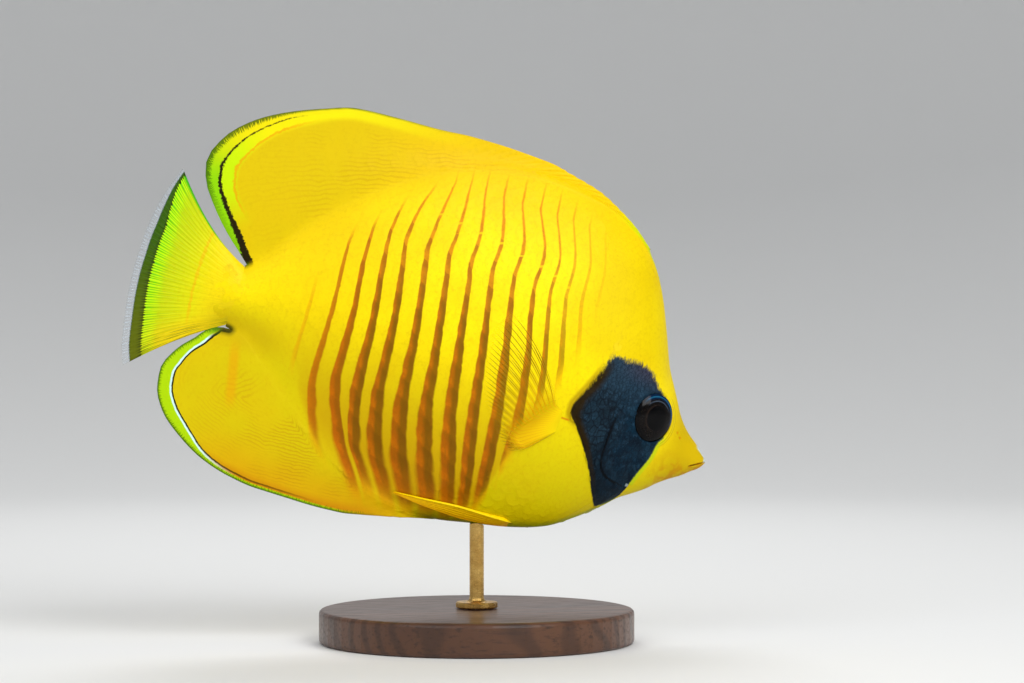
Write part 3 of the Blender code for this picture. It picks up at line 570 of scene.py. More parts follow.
def fish_colours():
    """The whole pattern of the fish, with its painted shade and highlights, read from the fields on the
    skin and on its scales.
    """
    # edges is how strongly the painted shade at the scales' free edges is drawn: 1 on the scales, 0 on the
    # bare skin.
    g, (edges,), out = group("fish_colours", {"Edges": "Float"},
                             {"Colour": "Color", "Dark": "Float", "Height": "Float"})
    where = g.object_place()
    b, z, level = g.numbers("place")
    phase, half, strength = g.numbers("bars")
    patch, past_gill, past_cheek = g.numbers("cheek")
    top_gap, top_share, past_back = g.numbers("dorsal_rim")
    foot_gap, foot_share, past_belly = g.numbers("anal_rim")
    top_fin, foot_fin = past_back.rise(-2.5, 1.5), past_belly.rise(-2, 3)
    black_off, black_half, orange_off = g.numbers("dorsal_lines")
    white_off, white_share, lateral = g.numbers("anal_lines")
    edge, chance, _ = g.numbers("scale")
    fine = g.noise(where, 900, 3, 0.6)
    speckle = g.noise(where, 2600, 2, 0.7)

    # Painted shade: the yellow is lighter over the upper half of the body and darker over the lower half,
    # as if lit from above.
    yellow = g.mix(level.rise(0.62, 0.1), (255, 230, 0), (216, 198, 0))
    into_fin = past_belly.rise(-13, 9) * b.rise(82, 104)
    nape = b.rise(72, 48) * z.rise(10, 28) * z.rise(70, 50)
    # Painted shade along the lower edge of the tail stalk.
    stalk_foot_shade = b.rise(140, 156) * z.rise(1, -6) * z.rise(-15, -8)
    haze = z.rise(14, -40, 0, 0.85) * strength.rise(0.2, 0.95) * level.rise(-0.05, 0.1)
    yellow = yellow.paint(
        ((240, 202, 0), z.rise(42, 64, 0, 0.8)),
        ((230, 194, 0), b.rise(92, 150) * z.rise(-14, 36) * 0.8),
        ((213, 186, 0), past_back.rise(-7, 6) * b.rise(60, 100) * 0.85),
        ((240, 190, 0), top_fin * z.rise(30, 66) * b.rise(150, 110) * b.rise(50, 80) * 0.5),
        ((211, 189, 0), into_fin * 0.85),
        ((216, 142, 0), into_fin * foot_gap.rise(18, 2) * foot_share.rise(0.66, 0.45) * 0.6),
        ((226, 198, 0), nape * 0.8),
        ((196, 152, 0), stalk_foot_shade * 0.35),
        # painted shade: the snout ahead of the eye is darker, as where the light falls off
        ((190, 157, 0), b.rise(22, 10) * 0.85),
        ((220, 184, 0), g.noise(where, 60, 3).rise(0.35, 0.75, 0, 0.35)),
        ((200, 162, 0), fine.rise(0.45, 0.8, 0, 0.3)),
        # painted shade at each scale's free edge, where it lies over the next
        ((206, 160, 0), edge.rise(0.55, 1) * edges * 0.1),
        ((170, 120, 0), speckle.rise(0.6, 0.75) * 0.12),
        ((200, 152, 0), haze))

    # Fine wavy lines along the rays' joints, out on the two fins.
    level_line = z * math.cos(NOSE_DOWN) + b * math.sin(NOSE_DOWN)
    bent = level_line + (g.noise(where, 160, 2) * 2.6 + (b - 110) * z.rise(0, 60, 0.18, -0.04))
    along_rim = foot_gap + level_line * 0.25 + g.noise(where, 220, 3) * 3
    waves = g.math("SINE", g.mix(foot_fin, bent, along_rim) * (2 * math.pi / WAVE_LENGTH)).rise(0, 0.9)
    on_top = top_fin * b.rise(70, 100) * top_gap.rise(5, 9)
    out_there = g.math("MAXIMUM", on_top, foot_fin * foot_gap.rise(2.5, 5.5))
    patchy = g.noise(where, 70, 1).rise(0.35, 0.6) * b.rise(172, 140, 0.25, 1)
    yellow = yellow.paint(((190, 132, 0), waves * out_there * patchy * foot_fin.rise(0, 1, 0.3, 0.5)))

    # The brown bars: a row of soft segments, each darkest at its top, with an orange rear edge.
    wobble = (g.noise(where, 260, 2) - 0.5) * 0.09
    wavy = phase + (wobble + (chance - 0.5) * 0.018)
    number = g.math("ROUND", wavy)
    off = wavy - number
    uneven = g.noise(where, 60, 1) * 0.8 + (g.noise(where, 420, 2) * 0.5 + off * 0.6)
    step = g.math("FRACT", z * (1 / SEGMENT) + (number * 0.38 + uneven))
    bulge = g.math("SINE", step * math.pi)
    width = half * bulge.rise(0, 1, 0.98, 1.03) * g.noise(where, 110, 1).rise(0.3, 0.7, 0.92, 1.08)
    soft = z.rise(20, -26, 0.03, 0.055) + z.rise(-22, -42, 0, 0.1)
    bar = 1 - (abs(off) - width).rise(soft * -1.15, soft)
    brown = g.mix(off.rise(-0.1, 0.08), (180, 92, 0), (132, 82, 0))
    top = step.rise(0.15, 0.75) * step.rise(1, 0.82)
    streaks = g.noise(g.join(phase * 9, z * 0.35, number), 1, 2)
    crossing = (lateral + off * -4).band(0, 0.18, 0.4) * b.rise(62, 66) * b.rise(120, 114)
    brown = brown.paint(
        ((112, 66, 0), top * off.rise(-0.16, 0.02, 0.4, 1) * 0.6),
        ((206, 112, 0), abs(step - 0.08).rise(0.36, 0.02) * off.rise(0.04, -0.12) * 0.45),
        ((120, 84, 0), streaks.rise(0.45, 0.75, 0, 0.35)),
        (g.mix(step.rise(0.25, 0.85), (214, 134, 0), (176, 100, 0)), z.rise(16, 40)),
        ((234, 142, 0), z.rise(38, 62)),
        ((192, 104, 0), z.rise(-30, -46, 0, 0.8)),
        ((200, 96, 0), phase.rise(3.5, 0.5) * 0.65),
        ((226, 136, 0), strength.rise(0.75, 0.35)),
        ((112, 68, 0), fine.rise(0.4, 0.8, 0, 0.25)))
    skin = g.mix(bar * strength * (1 - crossing * 0.6) * 0.95, yellow, brown)

    # The dorsal fin's rim: a green-black edge with fine ticks, then a thin black line, and inside it
    # a lemon and an orange line.
    ticks = g.noise(g.join(top_share * 560), 1, 1)
    rear = top_share.rise(0.5, 0.64)
    band = g.mix(top_share.rise(0.72, 0.86), (232, 216, 0), (140, 206, 0))
    lemon = g.mix(top_share.rise(0.68, 0.8), (240, 232, 0), (186, 238, 0))
    lemon_fade = top_share.rise(0.3, 0.6) * top_share.rise(0.96, 0.86, 0, 0.75)
    rough_orange = orange_off + (fine - 0.5) * 1.4
    orange = rough_orange.band(0, 0.16, 0.4) * top_share.rise(0.6, 0.68) * top_share.rise(0.94, 0.9)
    reach = top_share.rise(0.25, 0.6) * top_share.rise(0.94, 0.82, 0.3, 1)
    ticked = 0.45 + ticks.rise(0.36, 0.58) * top_share.rise(0.62, 0.74) * 1.5 - top_gap
    torn = (g.noise(where, 1500, 2) - 0.5) * top_share.rise(0.7, 0.9, 0.7, 1.6)
    rough_line = abs(black_off) + torn
    black_line = (rough_line - black_half).rise(0.2, -0.2) * top_share.rise(0.62, 0.67) * top_fin
    skin = skin.paint(
        (lemon, orange_off.rise(1.6, -0.8) * top_fin * lemon_fade),
        ((226, 152, 0), orange * top_fin * 0.7),
        (band, black_off.rise(0.2, -0.2) * rear * top_fin),
        ((36, 78, 0), ticked.rise(-0.5, 0.35) * reach * top_fin * 0.85),
        ((34, 26, 0), black_line))

    # The anal fin's rim: a lime edge with fine ticks, then a thin pale line with a black one inside it.
    foot_ticks = g.noise(g.join(foot_share * 420), 1, 1)
    inner = foot_gap.rise(4.5, 1) * foot_fin * foot_share.rise(0.62, 0.5) * foot_share.rise(0.02, 0.2)
    foot_tick = 0.4 + foot_ticks.rise(0.45, 0.62) * 0.8 - foot_gap
    rough_foot = white_off + (fine - 0.5) * 0.35
    lined = foot_fin * foot_share.rise(0.22, 0.34) * foot_share.rise(0.22, 0.6, 0.45, 1)
    pale = rough_foot.band(0.08, 0.24, 0.16) * foot_fin * white_share * foot_share.rise(0.965, 0.93)
    corner = foot_share.rise(0.935, 0.97) * foot_gap.rise(3.2, 0.6) * past_belly.rise(-2.4, -0.6)
    smudge = (b - z * 0.22).band(164.7, 0.5, 2) * z.rise(-33, -26) * z.rise(-8, -16) * 0.4
    skin = skin.paint(
        ((196, 112, 0), inner * 0.6),
        ((172, 212, 0), white_off.rise(0.1, -0.3) * foot_fin * foot_share.rise(0.1, 0.25)),
        ((46, 92, 0), foot_tick.rise(-0.4, 0.3) * foot_fin * foot_share.rise(0.05, 0.2) * 0.85),
        ((30, 20, 0), rough_foot.band(0.62, foot_share.rise(0.85, 0.97, 0.18, 0.35), 0.2) * lined),
        ((206, 240, 236), pale),
        (g.mix(foot_share.rise(0.96, 0.99), (60, 118, 0), (44, 48, 0)), corner * 0.85),
        ((232, 140, 0), smudge))

    # The dark blue patch over the cheek and the gill cover.
    fur = g.noise(g.join(b * 0.9, z * 0.35), 1, 3, 0.7) - 0.5
    ragged = patch + fur * z.rise(4, 18, 0.6, 4.4)
    spread = z.rise(0, 16, 0.3, 1.1)
    in_patch = (ragged / spread).rise(-0.9, 0.9)
    drawn = g.join(b, z * 0.62)
    cell_tone = g.split(g.cells(drawn, 0.52, "F1", "Color"))[0]
    walls = g.cells(drawn, 0.52, "DISTANCE_TO_EDGE")
    small_walls = g.cells(where, 700, "DISTANCE_TO_EDGE")
    slate = g.mix(g.noise(where, 200, 3).rise(0.3, 0.7), (0, 18, 32), (2, 40, 60))
    rear_half = b.rise(32, 42)
    strip = past_gill.rise(z.rise(-12, 2, -1.6, -3.4), -0.5) * z.rise(-24, -4, 0.3, 1) * z.rise(24, 16)
    crease = past_cheek.band(0.2, 0.16, 0.4) * b.rise(25, 28) * z.rise(7, 1) * 0.85
    spot = b.band(24.8, 0.3, 0.4) * z.band(-15.6, 0.2, 0.5) * 0.75
    shade = patch.band(-0.5, 0.3, 1.4) * past_gill.rise(-2.5, 0) * z.rise(-6, 2) * z.rise(22, 14) * 0.6
    slate = slate.paint(
        ((22, 40, 50), rear_half * 0.7),
        ((34, 64, 82), cell_tone.rise(0.4, 1) * 0.35),
        ((44, 74, 96), g.noise(where, 480, 3, 0.6).rise(0.5, 0.72) * z.rise(-18, 6, 0.2, 0.6)),
        ((38, 62, 80), z.rise(4, 20, 0, 0.7)),
        ((0, 12, 20), z.rise(-4, -22, 0, 0.5)),
        ((72, 62, 78), z.rise(15, 23) * b.rise(44, 30) * 0.6),
        ((3, 10, 20), walls.rise(0.11, 0.01) * z.rise(18, 8) * rear_half.rise(0, 1, 0.35, 0.8)),
        ((4, 14, 26), small_walls.rise(0.14, 0.02, 0, 0.4)),
        # painted shade at each scale's free edge, where it lies over the next
        ((4, 12, 22), edge.rise(0.5, 0.95) * edges * 0.45),
        ((60, 92, 120), speckle.rise(0.55, 0.75) * 0.16),
        ((36, 24, 0), strip),
        ((2, 5, 10), crease),
        ((170, 186, 190), spot))
    brim = patch.band(-0.5, 0.2, 0.9) * z.rise(6, 0) * past_cheek.rise(-1, -5) * 0.6
    across, up = (b - EYE_CENTRE[0]) * (1 / RING_RADII[0]), (z - EYE_CENTRE[1]) * (1 / RING_RADII[1])
    around = g.hypot(across, up)
    rings = g.math("MAXIMUM", around.band(1.16, 0.01, 0.025), around.band(1.27, 0.008, 0.02))
    fin_joint = z.band(-1.5, 0.12, 0.4) * b.rise(51.8, 52.6) * b.rise(55.6, 54.6) * 0.7
    skin = skin.paint(
        ((150, 104, 0), shade),
        (slate, in_patch),
        ((176, 208, 20), brim),
        ((120, 110, 0), rings * b.rise(20, 17.5) * z.rise(-3, 2) * 0.3),
        ((206, 96, 0), fin_joint))

    # The face: the mouth's brown line, the nostrils, a painted pale blue highlight on the lip's tip, the
    # forehead's green rim.
    mouth = MOUTH_CORNER[1] + (MOUTH_CORNER[0] - b) * MOUTH_RISE
    lip_line = z.band(mouth, 0.12, 0.3) * b.rise(6.2, 5.4) * b.rise(0.8, 2.4, 0.3, 1) * 0.75
    skin = skin.paint(((110, 50, 0), lip_line))
    for nose_b, nose_z in NOSTRILS:
        away = g.hypot(abs(b - nose_b), abs(z - nose_z))
        skin = skin.paint(((200, 104, 0), away.rise(0.7, 0.2, 0, 0.5)))
    # Painted highlight: pale blue along the lip's upper edge and its front.
    lip_top_highlight, lip_front_highlight = b.rise(4.9, 3.4) * level.rise(0.82, 0.95), b.rise(1.3, 0.5) * level.rise(0.3, 0.6)
    lip_highlight = g.math("MAXIMUM", lip_top_highlight, lip_front_highlight)
    jaw = g.noise(where, 330, 2).rise(0.42, 0.62) * level.rise(0.55, 0.1) * b.rise(22, 12) * 0.5
    rim = level.rise(0.985, 0.998) * b.rise(58, 44) * b.rise(5, 12) * 0.55
    under = level.rise(0.03, 0) * b.rise(22, 30) * b.rise(92, 84) * 0.7
    skin = skin.paint(
        ((186, 216, 230), lip_highlight * 0.85),
        ((190, 110, 0), jaw),
        ((180, 222, 0), rim),
        (g.mix(b.rise(62, 76), (120, 150, 0), (70, 92, 0)), under))

    g.feed(out, {"Colour": skin, "Dark": in_patch, "Height": fine * 0.5 + speckle * 0.3})
    return g.tree


def skin_stations():
    """Where the skin's columns stand along the fish: close on the face, wider behind."""
    spans = [(0, 6, 24), (6, DORSAL_FRONT, 62), (DORSAL_FRONT, 62, 44), (62, ANAL_FRONT, 36),
             (ANAL_FRONT, ANAL_REAR, 92), (ANAL_REAR, DORSAL_REAR, 7), (DORSAL_REAR, TAIL_BASE, 4)]
    return np.concatenate([np.linspace(a, b, n, endpoint=False) for a, b, n in spans] + [[TAIL_BASE]])


def make_skin(finish):
    """One skin over the flesh and the two fins that grow from it, with no seam."""
    stations = skin_stations()
    bm = bmesh.new()
    for side in (-1, 1):
        def flesh(along, around, side=side):
            b = np.interp(along, np.linspace(0, 1, len(stations)), stations)
            turn = 0.5 * (1 - np.cos(np.pi * around))
            t = 0.55 * turn + 0.45 * around
            low, high = belly(b), back(b)
            z = low + (high - low) * t
            inside = np.sin(np.pi * np.clip(t, 0, 1)) ** 0.3
            y = flank(b, z) + (relief(b, z) - COAT) * inside * (t > 0) * (t < 1)
            return np.stack([b, side * np.maximum(y, 0), z], axis=1)

        add_sheet(bm, len(stations) - 1, BODY_ROWS, flesh)
        for fin, rows, front, rear in ((dorsal, DORSAL_ROWS, DORSAL_FRONT, DORSAL_REAR),
                                       (anal, ANAL_ROWS, ANAL_FRONT, ANAL_REAR)):
            own = stations[(stations >= front - 1e-6) & (stations <= rear + 1e-6)]

            def sheet(along, out, side=side, fin=fin, own=own):
                s = fin.share_at(np.interp(along, np.linspace(0, 1, len(own)), own))
                v = 1 - (1 - out) ** 1.25
                spot = fin.place(s, v)
                return np.stack([spot[:, 0], side * fin.half(s, v), spot[:, 1]], axis=1)

            add_sheet(bm, len(own) - 1, rows, sheet)
    bmesh.ops.remove_doubles(bm, verts=bm.verts, dist=WELD)
    open_edges = [e for e in bm.edges if e.is_boundary]
    bmesh.ops.holes_fill(bm, edges=open_edges, sides=0)
    return finish_piece(bm, "skin", finish,
                        stands_for=("head", "trunk", "tail_stalk", "dorsal_fin", "anal_fin"))


def scale_level(b, z):
    """0 where the large scales of the flank grow, 1 for the middle ones and 2 for the small ones."""
    beyond = np.maximum(z - back(b), belly(b) - z)
    small = 2 * (1 - ease(b, 44, 62)) + 1.1 * ease(b, 138, 158) + ease(b, 158, 166)
    return np.clip(np.round(small + 1.6 * ease(beyond, -14, 2)), 0, 2)


def bar_line(phase, z):
    """Where along the fish a line of that phase crosses level z."""
    lines = [bar_curves[n](z) for n in SCALE_COLUMNS]
    b = lines[0] + (SCALE_COLUMNS[0] - phase) * BAR_SPACING
    apart = SCALE_COLUMNS[1] - SCALE_COLUMNS[0]
    for n, here, ahead in zip(SCALE_COLUMNS, lines, lines[1:]):
        b = np.where(phase > n, here + (phase - n) * (ahead - here) / apart, b)
    return b


def scale_spots(rng):
    """(b, z, level, length, height) of each scale, in columns that run with the bars."""
    spots = []
    for level, (length, height) in enumerate(SCALE_SIZES):
        step = length / BAR_SPACING
        for i, phase in enumerate(np.arange(-8, 18, step)):
            z = np.arange(-56, 82, height) + (i % 2) * height / 2
            z = z + rng.normal(0, 0.03, len(z)) * height
            b = bar_line(phase, z) + rng.normal(0, 0.03, len(z)) * length
            keep = (scale_level(b, z) == level) & (b > 8) & (b < 180) & (eye_distance(b, z) > 1.22)
            keep &= (np.hypot(b - 13, z - 3.4) > 2.6) & (b + 0.6 * z > 8)
            spots += [(x, y, level, length, height) for x, y in zip(b[keep], z[keep])]
    return np.array(spots)


def scale_shape(segments):
    """One scale as a low closed shield of unit size, its free edge at +x: its points and its faces."""
    bm = bmesh.new()
    bmesh.ops.create_cone(bm, cap_ends=True, cap_tris=True, segments=segments, radius1=1.0, radius2=0.93,
                          depth=2.0)
    bmesh.ops.triangulate(bm, faces=bm.faces)
    points = np.array([v.co for v in bm.verts])
    faces = np.array([[v.index for v in f.verts] for f in bm.faces])
    bm.free()
    return points, faces


def scatter_scales(shell, side, finish):
    """Rows of low overlapping scales over one side, each lying back along the fish."""
    rng = np.random.default_rng(7 + side)
    spots = scale_spots(rng)
    gaps = np.where(spots[:, 1] > 10, dorsal_rim.nearest(spots[:, 0], spots[:, 1])[0],
                    anal_rim.nearest(spots[:, 0], spots[:, 1])[0])
    away = np.maximum(spots[:, 1] - back(spots[:, 0]), belly(spots[:, 0]) - spots[:, 1])
    spots = spots[((gaps > 9) | (away < -2)) & (away < 16 - 12 * rng.random(len(spots)))]
    off_tail = spots[:, 0] < 176 - 13 * rng.random(len(spots))
    spots = spots[off_tail | (spots[:, 1] > 24) | (spots[:, 1] < -14)]
    hits = []
    for b, z, level, *size in spots:
        hit, normal = shell.ray_cast(Vector((b, side * 40, z)), Vector((0, -side, 0)))[:2]
        # A broad scale would stand off the belly's keel.
        least = 0.6 if z < -20 and level < 2 else 0.3
        if hit is not None and abs(normal.y) > least and hit.y * side > 0.1:
            hits.append((*hit, *(normal if normal.y * side > 0 else -normal), level, *size))
    hits = np.array(hits)
    points, corners, marks, bakes, base = [], [], [], [], 0
    for segments, chosen in ((14, hits[:, 6] == 0), (8, hits[:, 6] > 0)):
        roots, normals = hits[chosen, :3], hits[chosen, 3:6]
        length, height = hits[chosen, 7:8], hits[chosen, 8:9]
        rise = np.where(roots[:, 2] > 12, ease(roots[:, 2] - back(roots[:, 0]), -22, 8),
                        -0.8 * ease(belly(roots[:, 0]) - roots[:, 2], -18, 6))
        flow = np.stack([np.ones(len(rise)), np.zeros(len(rise)), rise], axis=1)
        flow -= normals * np.sum(flow * normals, axis=1, keepdims=True)
        flow /= np.linalg.norm(flow, axis=1, keepdims=True)
        across = np.cross(normals, flow)
        shape, faces = scale_shape(segments)
        n, count = len(roots), len(shape)
        grown = rng.normal(1, 0.04, (n, 1))
        along = shape[None, :, 0] * length * grown * SCALE_HALVES[0]
        wide = shape[None, :, 1] * height * grown * SCALE_HALVES[1]
        top = (shape[:, 2] > 0)[None, :]
        tilt = (SCALE_TILT * shape[None, :, 0] - SCALE_SINK) * length
        domed = SCALE_HALF_THICKNESS * (1 - 0.5 * np.hypot(shape[:, 0], shape[:, 1]))
        high = np.where(top, tilt + domed, tilt - SCALE_HALF_THICKNESS)
        placed = (roots[:, None] + flow[:, None] * along[..., None] + across[:, None] * wide[..., None]
                  + normals[:, None] * high[..., None])
        points.append(placed.reshape(-1, 3))
        corners.append((faces[None] + (base + np.arange(n) * count)[:, None, None]).reshape(-1, 3))
        base += n * count
        edge = np.clip(np.hypot(shape[:, 0], shape[:, 1]), 0, 1) * ease(shape[:, 0], -0.3, 0.6)
        chance = rng.random((n, 1))
        marks.append(np.stack(np.broadcast_arrays(edge, chance, 0), axis=2).reshape(-1, 3))
        # Each scale bakes as a small patch at its root's place on the flat flank.
        spot = np.stack([roots[:, 0], roots[:, 2] - FLANK_FOOT], axis=1) / FLANK_SPAN
        bakes.append((spot[:, None] + shape[None, :, :2] * BAKE_SIZE).reshape(-1, 2))
    points, corners, marks, bakes = (np.concatenate(parts) for parts in (points, corners, marks, bakes))
    mesh = bpy.data.meshes.new("scales")
    mesh.from_pydata(to_world(points), [], corners[:, ::-1] if side > 0 else corners)
    mesh.shade_smooth()
    mesh.set_sharp_from_angle(angle=RIM_ANGLE)
    write_fields(mesh, {**pattern_fields(points[:, 0], points[:, 2]), "scale": marks})
    loops = np.empty(len(mesh.loops), np.int32)
    mesh.loops.foreach_get("vertex_index", loops)
    mesh.uv_layers.new(name="OFBake").data.foreach_set("uv", bakes[loops].astype(np.float32).ravel())
    return hand_over(mesh, "scales_" + ("right" if side < 0 else "left"), finish)


def add_fin(bm, columns, rows, middle, half, turn=1):
    """Both faces of a thin fin, which meet all round its edge. middle gives the fin's own sheet."""
    marks = bm.verts.layers.float_vector.get("fin") or bm.verts.layers.float_vector.new("fin")
    for face in (-1, 1):
        def sheet(s, v, face=face):
            step = 1e-3
            across = middle(s + step, v) - middle(s - step, v)
            along = middle(s, v + step) - middle(s, v - step)
            normal = np.cross(along, across)
            normal /= np.linalg.norm(normal, axis=1, keepdims=True)
            edge = np.sqrt(np.maximum(0, 1 - (2 * s - 1) ** 24))
            edge = edge * np.sqrt(np.maximum(0, 1 - (2 * v - 1) ** 30))
            return (middle(s, v) + face * normal * (half(s, v) * edge)[:, None]) * (1, turn, 1)

        made = add_sheet(bm, columns, rows, sheet)
        for vert, (s, v) in made:
            vert[marks] = (s, v, 0)


def make_tail_fin(finish):
    """The tail fin: it grows out of the stalk and fans into rays, each forked once."""
    top, foot = back(TAIL_BASE) - 0.3, belly(TAIL_BASE) + 0.3

    def middle(s, v):
        out = v * 1.13 - 0.13
        near = np.stack([np.full(len(s), TAIL_BASE + 0.3), top + (foot - top) * s], axis=1)
        spot = near + (tail_rim(s) - near) * out[:, None]
        bow = np.where(s < 0.5, -TAIL_BOW[0], TAIL_BOW[1]) * (2 * s - 1) ** 2 * 4 * out * (1 - out)
        return np.stack([spot[:, 0], np.zeros(len(s)), spot[:, 1] + bow * (out > 0)], axis=1)

    def half(s, v):
        out = v * 1.13 - 0.13
        spot = middle(s, v)
        flesh = flank(TAIL_BASE, top + (foot - top) * s) * np.exp(-1.2 * out - 6 * out * out)
        stalk = np.where(out > 0, flesh, flank(spot[:, 0], spot[:, 2]))
        single, forked = ray_ridge(s, TAIL_RAYS), ray_ridge(s, 2 * TAIL_RAYS)
        ray = single + (forked - single) * ease(out, 0.3, 0.6)
        return np.maximum(0.17, stalk - COAT + 0.03) + 0.2 * ray * ease(out, 0.12, 0.5) * (1.1 - 0.75 * out)

    bm = bmesh.new()
    add_fin(bm, 8 * TAIL_RAYS, 96, middle, half)
    tail = finish_piece(bm, "tail_fin_rays", finish, stands_for=("tail_fin",))
    fish = to_fish(points_of(tail.data))
    gap = tail_rim.nearest(fish[:, 0], fish[:, 2])[0]
    write_fields(tail.data, {"margin": np.stack([gap, fish[:, 0], 0 * gap], axis=1)})
    return tail


def make_pectoral(side, word, finish):
    """The breast fin: a clear fan of forked rays on a fleshy root, standing a little off the flank."""
    root, lobe, tips = Path(PECTORAL_ROOT), Path(PECTORAL_LOBE), Path(PECTORAL_TIPS)

    def middle(s, v):
        near, arc, far = root(s), lobe(s), tips(s)
        out = v * 1.06 - 0.06
        inner = np.clip(out / LOBE_SHARE, -0.2, 1)[:, None]
        outer = np.clip((out - LOBE_SHARE) / (1 - LOBE_SHARE), 0, 1.01)[:, None]
        spot = near + (arc - near) * inner + (far - arc) * outer
        bow = PECTORAL_BOW * 4 * outer * (1 - outer) * ((1 - s) ** 2)[:, None]
        spot = spot + bow * (-0.7, 0.714)
        reach = np.linalg.norm(far - arc, axis=1) * outer[:, 0]
        off = flank(spot[:, 0], spot[:, 1]) + 0.12 + 0.35 * inner[:, 0]
        off = off + reach * math.tan(PECTORAL_FLARE) * (1 - 0.2 * outer[:, 0])
        off = off - 1.4 * (1 - ease(out, -0.03, 0.08))
        return np.stack([spot[:, 0], off, spot[:, 1]], axis=1)

    def half(s, v):
        single, forked = ray_ridge(s, PECTORAL_RAYS) ** 2, ray_ridge(s, 2 * PECTORAL_RAYS) ** 2
        ray = single + (forked - single) * ease(v, 0.5, 0.75)
        root = 0.34 * (1 - ease(v, 0.02, LOBE_SHARE + 0.1))
        return 0.06 + root + 0.05 * ray * ease(v, 0.2, 0.4) * (1.2 - 0.7 * v)

    bm = bmesh.new()
    add_fin(bm, 12 * PECTORAL_RAYS, 60, middle, half, side)
    return finish_piece(bm, "breast_fin_" + word, finish,
                        stands_for=("pectoral_fin_" + word,))


def make_pelvic(side, word, finish):
    """The belly fin, folded back along the belly: a stout front ray and soft rays laid on one another."""
    outer, inner = Path(PELVIC_OUTER), Path(PELVIC_INNER)

    def middle(s, v):
        spot = outer(v) + (inner(v) - outer(v)) * s[:, None]
        away = PELVIC_STANDOFF * ease(v, 0.02, 0.12) - 1.3 * (1 - ease(v, 0.0, 0.1))
        return np.stack([spot[:, 0], flank(spot[:, 0], spot[:, 1]) + away, spot[:, 1]], axis=1)

    def half(s, v):
        stout = 0.35 * np.exp(-((s - 0.08) / 0.08) ** 2) * (1 - 0.6 * v)
        return 0.55 - 0.36 * ease(v, 0.0, 0.5) + stout + 0.1 * ray_ridge(s, PELVIC_RAYS) * ease(v, 0.1, 0.3)

    bm = bmesh.new()
    add_fin(bm, 10 * PELVIC_RAYS, 90, middle, half, side)
    return finish_piece(bm, "belly_fin_" + word, finish,
                        stands_for=("pelvic_fin_" + word,))


def make_eye(side, word, finish):
    """A clear-coated dome, set in the socket and turned a little forwards."""
    b, z = EYE_CENTRE
    centre = np.array([b, side * (flank(b, z) - EYE_SUNK), z])
    tail = np.array([math.cos(EYE_FORWARD), side * math.sin(EYE_FORWARD), 0])
    out = np.array([-math.sin(EYE_FORWARD), side * math.cos(EYE_FORWARD), 0])
    bm = bmesh.new()
    marks = bm.verts.layers.float_vector.new("eye")
    for vert in bmesh.ops.create_uvsphere(bm, u_segments=96, v_segments=64, radius=1)["verts"]:
        x, y, front = vert.co
        r = min(1.0, math.hypot(x, y))
        dome = (math.sqrt(1 - (r * math.sin(1)) ** 2) - math.cos(1)) / (1 - math.cos(1))
        rise = CORNEA_HEIGHT * dome if front > 0 else -EYE_BACK * math.sqrt(1 - r * r)
        vert[marks] = (x, y, r)
        upright = np.array([0, 0, y * EYE_RADII[1] * EYE_FIT])
        vert.co = to_world([centre + tail * x * EYE_RADII[0] * EYE_FIT + out * rise + upright])[0]
    return finish_piece(bm, "eye_dome_" + word, finish, stands_for=("eye_" + word,))


def plain_finish(name, roughness, specular=0.5, coat=0, metallic=0, coat_roughness=0.05):
    """A material with one value of each kind all over: the material, its graph and its shader."""
    finish = bpy.data.materials.new(name)
    finish.use_nodes = True
    g, shader = Graph(finish.node_tree), finish.node_tree.nodes["Principled BSDF"]
    g.feed(shader, {"Roughness": roughness, "Specular IOR Level": specular, "Coat Weight": coat,
                    "Coat Roughness": coat_roughness, "Metallic": metallic})
    return finish, g, shader


def fish_finish(name, pattern, edges, strength, roughness):
    """A wet, satin skin over the fish's pattern. edges is how strongly the painted shade at the scales'
    free edges is drawn.
    """
    finish, g, shader = plain_finish(name, roughness, 0.08)
    read = ("Colour", "Dark", "Height")
    tint, dark, height = g.node("ShaderNodeGroup", {"Edges": edges}, read, node_tree=pattern)
    g.feed(shader, {"Base Color": tint, "Roughness": dark.rise(0, 1, roughness, roughness + 0.08),
                    "Normal": g.bump(height, strength)})
    return finish


